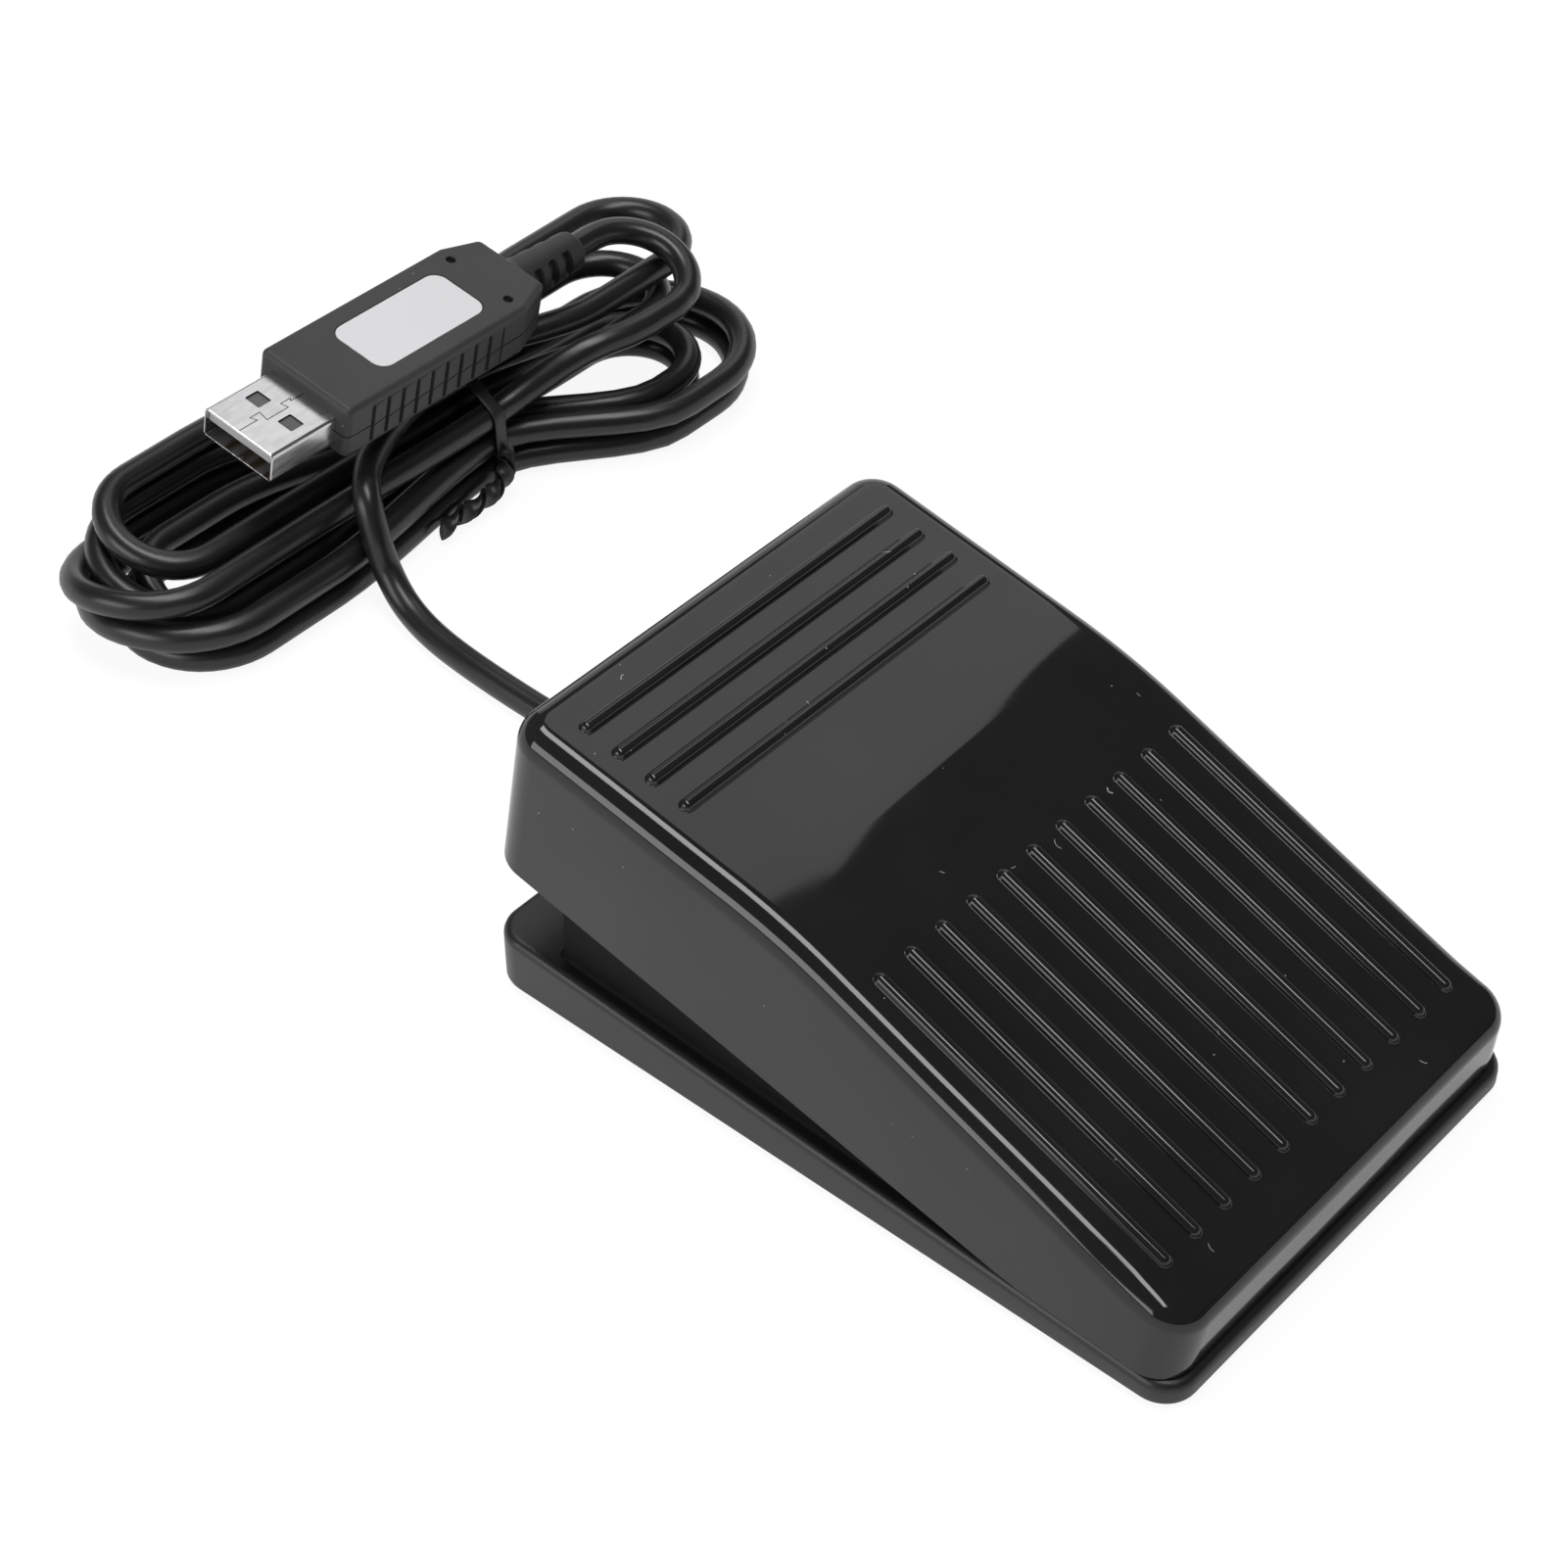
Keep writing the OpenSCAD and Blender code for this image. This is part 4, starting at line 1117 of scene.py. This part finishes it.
def box_ring(inset, height, lift):
    """A ring of the inner box, moved inwards by inset."""
    return raised(outline(box_x - inset, box_heel + inset, box_toe - inset, box_corner)[0], height, lift)


tray = Form()
rings = [tray_ring(inset, ground, foot_proud + lift) for inset, lift in ((0.7, 0), (0.2, 0.2), (0, 0.7))]
for i in range(7):
    a = math.radians(15 * i)
    rings.append(tray_ring(rim_r * (1 - math.cos(a)), rim_z, -rim_r * (1 - math.sin(a))))
for inset, height, lift in (
        (-box_soft, rim_z, 0), (0, rim_z, box_soft), (0, box_top_z, -box_round), (box_round, box_top_z, 0),
        (box_wall - box_round, box_top_z, 0), (box_wall, box_top_z, -box_round), (box_wall, ground, floor_z)):
    rings.append(box_ring(inset, height, lift))
tray.solid(rings)
print("tray skin has", len(tray.faces), "faces")

# %% [markdown]
# Ears for the hinge pins, a wall for the switch, a post for the spring and two posts for the cord's clamp
# stand on the tray's floor. They hide under the pedal, so plain blocks and turned posts with softened edges
# are enough. Faces of the box are then found by their place and given the duller, darker copy of the finish,
# which paints the pedal's shade on them.

# %% Posts inside the base
root_z = floor_z - 0.5
ear_t = 4.2
ear_x0 = lug_x0 - 0.5 - ear_t
ear_r = 4.0
for x0 in (-ear_x0 - ear_t, ear_x0):
    drum(tray, (x0, hinge_y, hinge_z), (1, 0, 0), round_plate(ear_t, ear_r, 3.8))
    block(tray, x0, x0 + ear_t, hinge_y - ear_r, hinge_y + ear_r, root_z, hinge_z)
switch_t = 6.4
switch_y0 = plunger_y - 6.2
switch_z0 = floor_z + 5.2
block(tray, switch_t / 2, switch_t / 2 + 1.8, switch_y0 + 1, switch_y0 + 18.8, root_z, switch_z0 + 5.4)
drum(tray, (0, spring_y, root_z), (0, 0, 1), ((0, 6), (1.1, 6), (1.101, 3.5), (4.2, 3.5), (4.5, 3.2)))
for s in (-1, 1):
    drum(tray, (exit_x + s * 5.6, clamp_y, root_z), (0, 0, 1), ((0, 2.3), (3.6, 2.3)))
base = piece("base_tray_skin", tray, "base", base_satin)
# The box's faces get the darker copy of the finish as painted shade.
base.data.materials.append(box_painted_shade)
ledge = 0.35
for face in base.data.polygons:
    x, y, z = face.center / MM
    if abs(x) < box_x + ledge and box_heel - ledge < y < box_toe + ledge and z > floor_z:
        face.material_index = 1
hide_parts("base_tray")

# %% [markdown]
# The plug's housing is a flat box whose tail end narrows. Its rings climb from the underside to the top with
# rounded edges. Along both sides ten upright grooves part the grip plates, each a little higher at its front,
# and a fine parting line runs right round. The top has a sunk bed for the label and two small round holes.

# %% Housing outline
house_half = house_w / 2
tail_l = 5.8
tail_half = house_half - 2.1
house_corners = [Vector(p) for p in (
    (shell_out, -house_half), (house_x1 - tail_l, -house_half), (house_x1, -tail_half),
    (house_x1, tail_half), (house_x1 - tail_l, house_half), (shell_out, house_half))]
grip_stations = []
grip_step = 2.73
grip_deep = 0.3
grip_proud = 0.26
for i in range(10):
    x = shell_out + 4.6 + i * grip_step
    front = grip_proud if i < 9 else 0.0
    grip_stations += [(x - 0.2, 0.0), (x - 0.12, -grip_deep), (x + 0.12, -grip_deep), (x + 0.2, front)]


def corner_arc(corners, i, inset, radius, steps=5):
    """One rounded corner of a convex outline that is moved inwards by inset."""
    before = (corners[i] - corners[i - 1]).normalized()
    after = (corners[(i + 1) % len(corners)] - corners[i]).normalized()
    n0 = Vector((-before.y, before.x))
    n1 = Vector((-after.y, after.x))
    small = max(radius - inset, 0.05)
    centre = corners[i] + (n0 + n1) / (1 + n0.dot(n1)) * (inset + small)
    start = math.atan2(-n0.y, -n0.x)
    sweep = before.angle(after)
    angles = [start + sweep * k / steps for k in range(steps + 1)]
    return [centre + Vector((math.cos(a), math.sin(a))) * small for a in angles]


def house_ring(inset, z, grip):
    """One level of the housing; grip is 1 where the side grooves are cut."""
    ring = []
    for i in range(len(house_corners)):
        ring += level(corner_arc(house_corners, i, inset, 1.0), z)
        side = -1 if i == 0 else 1
        if i in (0, 4):
            stations = grip_stations if side < 0 else grip_stations[::-1]
            ring += [(x, side * (house_half - inset + rise * grip), z) for x, rise in stations]
    return ring


def oblong(middle, half_x, half_y, radius, steps):
    """Plan of a round-cornered rectangle."""
    corners = [middle + Vector((a * half_x, b * half_y)) for a, b in quad]
    return [p for i in range(4) for p in corner_arc(corners, i, 0, radius, steps)]


def circle(x, y, z, radius, steps=28):
    """Points of a level circle."""
    return [(x + radius * math.cos(a), y + radius * math.sin(a), z) for a in full_turn(steps)]


print("grooves on a side:", len(grip_stations) // 4)

# %% Housing skin
soft_r = 0.9
quarter = [math.radians(15 * i) for i in range(7)]
# Each level is (inset, height, grip). The inset of 0.2 is the parting line.
levels = [(soft_r * (1 - math.sin(a)), soft_r * (1 - math.cos(a)) - house_down, 0) for a in quarter]
levels += [(0, 1.1 - house_down, 1), (0, -0.1, 1), (0.2, -0.05, 1), (0.2, 0.05, 1), (0, 0.1, 1),
           (0, house_up - 1.45, 1), (0, house_up - 1.25, 0)]
levels += [(soft_r * (1 - math.cos(a)), house_up - soft_r * (1 - math.sin(a)), 0) for a in quarter]
house = Form()
made = house.loft([house_ring(*level) for level in levels])
house.close(made[0][::-1])
label_l = 20.0
label_w = 9.6
label_middle = Vector((shell_out + 9.3 + label_l / 2, 0))


def label_ring(grow, radius, drop):
    """An outline like the label's, larger by grow all round, at a drop below the housing's top."""
    return level(oblong(label_middle, label_l / 2 + grow, label_w / 2 + grow, radius, 8), house_up - drop)


bed = house.loft([label_ring(0.14, 2.1, 0), label_ring(0.14, 2.1, 0.26)])
house.close(bed[1])
holes = []
hole_profile = ((0, 0.74), (0.08, 0.68), (0.9, 0.68))
for side in (-1, 1):
    spot = (shell_out + 32.7, side * 5.2)
    hole = house.loft([circle(*spot, house_up - deep, radius) for deep, radius in hole_profile])
    house.close(hole[2])
    holes.append(hole[0])
house.fill(made[-1], bed[0], *holes)
housing = piece("plug_housing", house, "base", plug_grain, plug_place)
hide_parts("plug_top_shell", "plug_bottom_shell")

# %% [markdown]
# The label is a thin plate in its sunk bed. It could be painted on the housing, but it is a part with a
# finish of its own, and its rounded rim catches a little light.

# %% Label plate
label_form = Form()
label_form.solid([label_ring(0, 2, 0.24), label_ring(0, 2, 0.05), label_ring(-0.05, 1.95, 0.01)])
label = piece("label_plate", label_form, "base", label_face, plug_place)
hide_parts("plug_label")

# %% [markdown]
# The metal shell is folded from thin sheet, so its long edges are round, its mouth shows the sheet's own
# thickness, two square windows are punched in the top, and the fold closes in a dovetailed seam. The cut
# edges of the windows are painted black as shade, and grey backs show at their bottom.

# %% Metal shell
shell = Form()
sheet_t = 0.3
shell_r = 0.6


def shell_ring(x, inset):
    """From the top's right edge round the right side, underside and left side to the top's left edge."""
    small = max(shell_r - inset, 0.05)
    flat_y = shell_w / 2 - inset - small
    flat_z = shell_h / 2 - inset - small
    ring = []
    for sy, sz, start in ((1, 1, 90), (1, -1, 0), (-1, -1, -90), (-1, 1, -180)):
        for i in range(7):
            a = math.radians(start - 15 * i)
            ring.append((x, sy * flat_y + small * math.cos(a), sz * flat_z + small * math.sin(a)))
    return ring


shell_root = 1.0
mouth_deep = 9.0
mouth = [(mouth_deep, sheet_t), (0.12, sheet_t), (0.02, 0.22), (0.02, 0.1), (0.1, 0.02), (0.25, 0)]
made = shell.loft([shell_ring(x, inset) for x, inset in mouth])
back = shell.ring(shell_ring(shell_out + shell_root, 0))
shell.bridge(made[-1], back, closed=False)
print("rings at the mouth:", len(made))

# %% Windows
windows = []
window_x = 6.3
window_y = 2.9
window_half = (1.15, 1.25)
back_gap = 0.015
top = shell_h / 2
carrier = Form()
for side in (-1, 1):
    plan = oblong(Vector((window_x, side * window_y)), *window_half, 0.2, 3)
    walls = shell.loft([level(plan, top), level(plan, top - sheet_t)])
    windows.append(walls[0])
    carrier.close(carrier.ring(level(plan, top - sheet_t + back_gap)))
shell.fill([made[-1][0], made[-1][-1], back[-1], back[0]], *windows)
usb = piece("usb_shell_skin", shell, "base", shell_nickel, plug_place, 50)
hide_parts("usb_shell")
# The walls of the windows get the black finish as painted shade inside the holes.
usb.data.materials.append(black_and_painted_shade)
for face in usb.data.polygons:
    spot = plug_place.inverted() @ (face.center / MM)
    near_x = abs(spot.x - window_x) < window_half[0] + 0.15
    near_y = abs(spot.y) < window_y + window_half[1] + 0.15
    if near_x and near_y and abs(spot.z - top + sheet_t / 2) < 0.1:
        face.material_index = 1
backs = piece("window_backs", carrier, "base", carrier_grey, plug_place)

# %% [markdown]
# Where the ends of the sheet meet, a dovetail holds them. The gap is much thinner than the sheet, so dark
# strips just over the surface show it as well as a cut would, and the shell's top stays flat.

# %% Seam
seam_line = [Vector(p) for p in (
    (0.3, 0.1), (3.4, 0.1), (3.0, 1.0), (4.7, 1.0), (4.4, -0.6),
    (8.2, -0.6), (7.9, 0.5), (9.6, 0.5), (9.3, 0.1), (shell_out, 0.1))]
seam_half = 0.06
seam_lap = 0.05
seam_lift = 0.004
seam = Form()
for a, b in zip(seam_line, seam_line[1:]):
    across = Vector((a.y - b.y, b.x - a.x)).normalized() * seam_half
    along = (b - a).normalized() * seam_lap
    corners = (a - along + across, b + along + across, b + along - across, a - along - across)
    seam.close(seam.ring(level(corners, top + seam_lift)))
seam_gap = piece("shell_seam", seam, "base", black_and_painted_shade, plug_place)

# %% [markdown]
# The boot is a tapered sleeve with a small swell at the housing and a round tip. Three slots on each side let
# it bend; they are pressed into a fine grid of rings by lowering the radius inside a rounded rectangle. A
# Boolean could cut them, but its edges would be sharp, and moulded ones are soft.

# %% Boot
boot_form = Form()
boot_steps = 96
boot_rows = 100
boot_r = (3.4, 2.75)
slot_count = 3
slot_first = 3.1
slot_step = 3.0
slot_half = 1.8
slot_soft = 0.35
slot_deep = 0.9
slot_turns = [math.radians(a) for a in (12, 168, 372)]


def slot_depth(x, arc):
    """Share of a slot's depth at x from the housing and at an arc length from the slots' middle."""
    deepest = 0.0
    for i in range(slot_count):
        qx = abs(x - slot_first - i * slot_step) - slot_soft
        qs = abs(arc) - slot_half
        away = math.hypot(max(qx, 0), max(qs, 0)) + min(max(qx, qs), 0) - slot_soft
        deepest = max(deepest, min(max(0.5 - away / 0.2, 0), 1))
    return deepest


rings = []
for i in range(boot_rows + 1):
    x = mix(-0.4, boot_l, i / boot_rows)
    swell = 0.25 * math.exp(-((x - 0.4) / 0.5) ** 2)
    tip = max(x - boot_l + 1.0, 0)
    radius = mix(*boot_r, max(x, 0) / boot_l) + swell - (1 - math.sqrt(max(1 - tip * tip, 0))) * 0.8
    ring = []
    for a in full_turn(boot_steps):
        arc = min(abs(a - middle) for middle in slot_turns) * radius
        left = radius - slot_deep * slot_depth(x, arc)
        ring.append((house_x1 + x, left * math.cos(a), left * math.sin(a)))
    rings.append(ring)
boot_form.solid(rings)
boot = piece("boot_skin", boot_form, "base", boot_matte, plug_place, 60)
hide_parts("plug_boot")

# %% [markdown]
# The tie is drawn tight round the cords at the waist. Its line is the convex outline of the circles that the
# cords make there, and its two ends are twisted together and bent down to the floor.

# %% Waist outline


def passes(x):
    """Where the hank passes through a plane across the waist, as (y, z)."""
    spots = []
    for a, b in zip(hank_line, hank_line[1:]):
        if (a.x - x) * (b.x - x) <= 0 and a.x != b.x:
            spot = a.lerp(b, (x - a.x) / (b.x - a.x))
            spots.append((spot.y, spot.z))
    return spots


def hull(points):
    """Convex outline of plane points, anticlockwise."""
    ordered = sorted(set(points))
    chains = []
    for run in (ordered, ordered[::-1]):
        chain = []
        for p in run:
            while len(chain) > 1:
                ux, uy = chain[-1][0] - chain[-2][0], chain[-1][1] - chain[-2][1]
                vx, vy = p[0] - chain[-2][0], p[1] - chain[-2][1]
                if ux * vy - uy * vx > 0:
                    break
                chain.pop()
            chain.append(p)
        chains += chain[:-1]
    return chains


print("cords at the waist:", len(passes(waist_x)))

# %% Tie band


def boxy(value):
    """Pushes a sine or cosine outwards, so that an ellipse becomes a flat strip with round edges."""
    return math.copysign(abs(value) ** 0.6, value)


tie_w = 2.0
tie_in = cord_r + 0.02
tie_steps = 14
spots = passes(waist_x - tie_w / 2) + passes(waist_x + tie_w / 2)
rims = [(y + tie_in * math.cos(a), z + tie_in * math.sin(a)) for y, z in spots for a in full_turn(40)]
tie_line = hull(rims)
tie_form = Form()
rings = []
for i, (y, z) in enumerate(tie_line):
    before = Vector(tie_line[i - 1])
    after = Vector(tie_line[(i + 1) % len(tie_line)])
    way = (after - before).normalized()
    out = Vector((way.y, -way.x))
    ring = []
    for a in full_turn(tie_steps):
        lift = tie_t / 2 * (1 + boxy(math.sin(a)))
        wide = tie_w / 2 * boxy(math.cos(a))
        ring.append((waist_x + wide, y + out.x * lift, z + out.y * lift))
    rings.append(ring)
made = tie_form.loft(rings)
tie_form.bridge(made[-1], made[0])
print("points round the waist:", len(tie_line))

# %% [markdown]
# The ends of the tie are two flat strands wound round each other. A Screw modifier could wind a straight
# pair, but this tail also bends, so each strand follows a bent line while its section turns at every step.

# %% Twisted tail
tie_near = min(p[0] for p in tie_line) - tie_t
twist_keys = [Vector((waist_x + x, tie_near + y, z)) for x, y, z in (
    (0, 0.2, 6.6), (-0.4, -0.9, 5.4), (-2.2, -1.6, 3.4), (-5.6, -1.7, 2.3), (-10, -1.6, 2.1),
    (-14.6, -2, 2.2))]
twist_step = math.radians(15)
strand_half = Vector((1.3, 0.4))
strand_off = 0.45
strand_steps = 12
twist_line = through_keys(twist_keys, 12) + [twist_keys[-1]]
for strand in (0, 1):
    rings = []
    for i, p in enumerate(twist_line[:-8 * strand] if strand else twist_line):
        way = (twist_line[min(i + 1, len(twist_line) - 1)] - twist_line[max(i - 1, 0)]).normalized()
        side = way.cross(Vector((0, 0, 1))).normalized()
        up = side.cross(way)
        turned = math.pi * strand + i * twist_step
        out = side * math.cos(turned) + up * math.sin(turned)
        wide = way.cross(out)
        centre = p + out * strand_off * smooth(i / 10)
        ring = []
        for a in full_turn(strand_steps):
            ring.append(centre + wide * strand_half.x * math.cos(a) + out * strand_half.y * math.sin(a))
        rings.append(ring)
    tie_form.solid(rings)
tie = piece("tie_band", tie_form, "base", tie_skin, None, 60)
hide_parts("cable_tie")

# %% [markdown]
# Small turned parts follow: the rubber gland round the cord at the toe, with its rings, and the four feet.
# Each is a profile of (distance along the axis, radius) that is swept round. A Screw modifier would do the
# same, but the turned shapes above are at hand and close their own ends.

# %% Gland and feet
gland_form = Form()
gland_r = 3.0
gland_profile = [(along, gland_r + proud) for along, proud in (
    (-11, 0), (0.02, 0), (0.05, 0.5), (0.15, 0.6), (0.75, 0.6), (0.9, 0.45), (0.95, -0.1), (1.5, -0.1),
    (1.55, -0.35), (1.9, -0.35), (1.95, -0.15), (2.6, -0.2), (2.65, -0.5), (3.0, -0.5), (3.05, -0.25),
    (3.45, -0.3), (3.6, -0.5))]
drum(gland_form, (exit_x, toe_y, exit_z), (0, 1, 0), gland_profile, 48)
gland = piece("gland_skin", gland_form, "base", boot_matte)
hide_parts("cable_gland")
feet_form = Form()
foot_profile = ((0.02, 4.4), (0.05, 4.6), (0.15, 4.85), (0.35, 4.99), (1.2, 4.99))
foot_x = 23
foot_y = base_l / 2 - 9.5
for sx, sy in quad:
    drum(feet_form, (sx * foot_x, sy * foot_y, 0), (0, 0, 1), foot_profile, 40)
feet = piece("feet_skin", feet_form, "base", foot_rubber)
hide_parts("rubber_feet")

# %% [markdown]
# The return spring and the switch's two wires are round wires along smooth lines. The spring is squashed with
# the pedal, and a little more than its seat drops, because the seat tilts and its toe side comes down most.

# %% Spring


def round_wire(form, line, radius, steps=10):
    """A round wire along a line, its rings turned as little as possible from one to the next."""
    rings = []
    side = (line[1] - line[0]).orthogonal().normalized()
    for i, p in enumerate(line):
        way = (line[min(i + 1, len(line) - 1)] - line[max(i - 1, 0)]).normalized()
        side = (side - way * side.dot(way)).normalized()
        up = way.cross(side)
        rings.append([p + (side * math.cos(a) + up * math.sin(a)) * radius for a in full_turn(steps)])
    form.solid(rings)


coil_form = Form()
coil_turns = 8
turn_points_each = 28
coil_r = 4.5
coil_wire_r = 0.5
coil_steps = turn_points_each * coil_turns
coil = []
for i in range(coil_steps + 1):
    a = math.tau * i / turn_points_each
    z = mix(spring_z0 + coil_wire_r, spring_z1 - coil_wire_r, i / coil_steps)
    coil.append(Vector((coil_r * math.cos(a), spring_y + coil_r * math.sin(a), z)))
round_wire(coil_form, coil, coil_wire_r)
spring = piece("spring_coil", coil_form, "base", steel, None, 60)
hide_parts("return_spring")
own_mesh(spring)

# %% [markdown]
# Two insulated wires lead from the cord's end past the spring to the blades of the switch. They are swept as
# the spring is, along smooth lines through a few keys that keep clear of the moving pedal.

# %% Switch wires
wire_form = Form()
sheath_r = 0.6
terminals = (switch_y0 + 2.2, switch_y0 + 10.9)
for s, wire_x in enumerate((-10.4, -7.4)):
    first = Vector((exit_x + (0.95 if s else -0.95), lead_in - 0.05, exit_z))
    last = Vector((-1.65, terminals[s], switch_z0 - 2))
    keys = [first, first - Vector((0, 2 + 2 * s, 0)),
            Vector((wire_x + 5, spring_y + 11 - 2.4 * s, floor_z + 1.6)),
            Vector((wire_x, spring_y + 2, floor_z + 1.2)), Vector((wire_x, spring_y - 10, floor_z + 1.2)),
            last + Vector((-5.6, 3.6, floor_z + 3.6 - switch_z0)), last - Vector((1.8, 0, 0)), last]
    round_wire(wire_form, through_keys(keys, 9) + [last], sheath_r)
wires = piece("switch_wire_pair", wire_form, "base", wire_skin, None, 60)
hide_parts("switch_wires")

# %% [markdown]
# The remaining CAD nodes already have their true shape, so they only need a finish. The table names the
# finish of each.

# %% Finishes on CAD nodes
finishes = {
    "hinge_pins": steel, "switch_case": switch_skin, "switch_plunger": plunger_skin,
    "switch_terminals": brass_plate, "switch_screws": steel, "cable_clamp": base_satin, "clamp_screws": steel,
    # The tongue's finish carries painted light.
    "usb_tongue": tongue_painted_light, "usb_contacts": contact_gold, "plug_board": board_mask,
    "plug_chip": switch_skin, "light_pipes": black_and_painted_shade,
}
for node_name, paint in finishes.items():
    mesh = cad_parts[node_name].data
    mesh.materials.clear()
    mesh.materials.append(paint)
print("finishes set on", len(finishes), "CAD nodes")

# %% Cord facts
inside_plug = ["usb_tongue", "usb_contacts", "plug_board", "plug_chip", "light_pipes"]
on_cord = [gland, tie, housing, label, usb, backs, seam_gap, boot]
on_cord += [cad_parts[name] for name in inside_plug]
print("pieces on the cord:", len(on_cord))

# %% Finish
print("scene built")
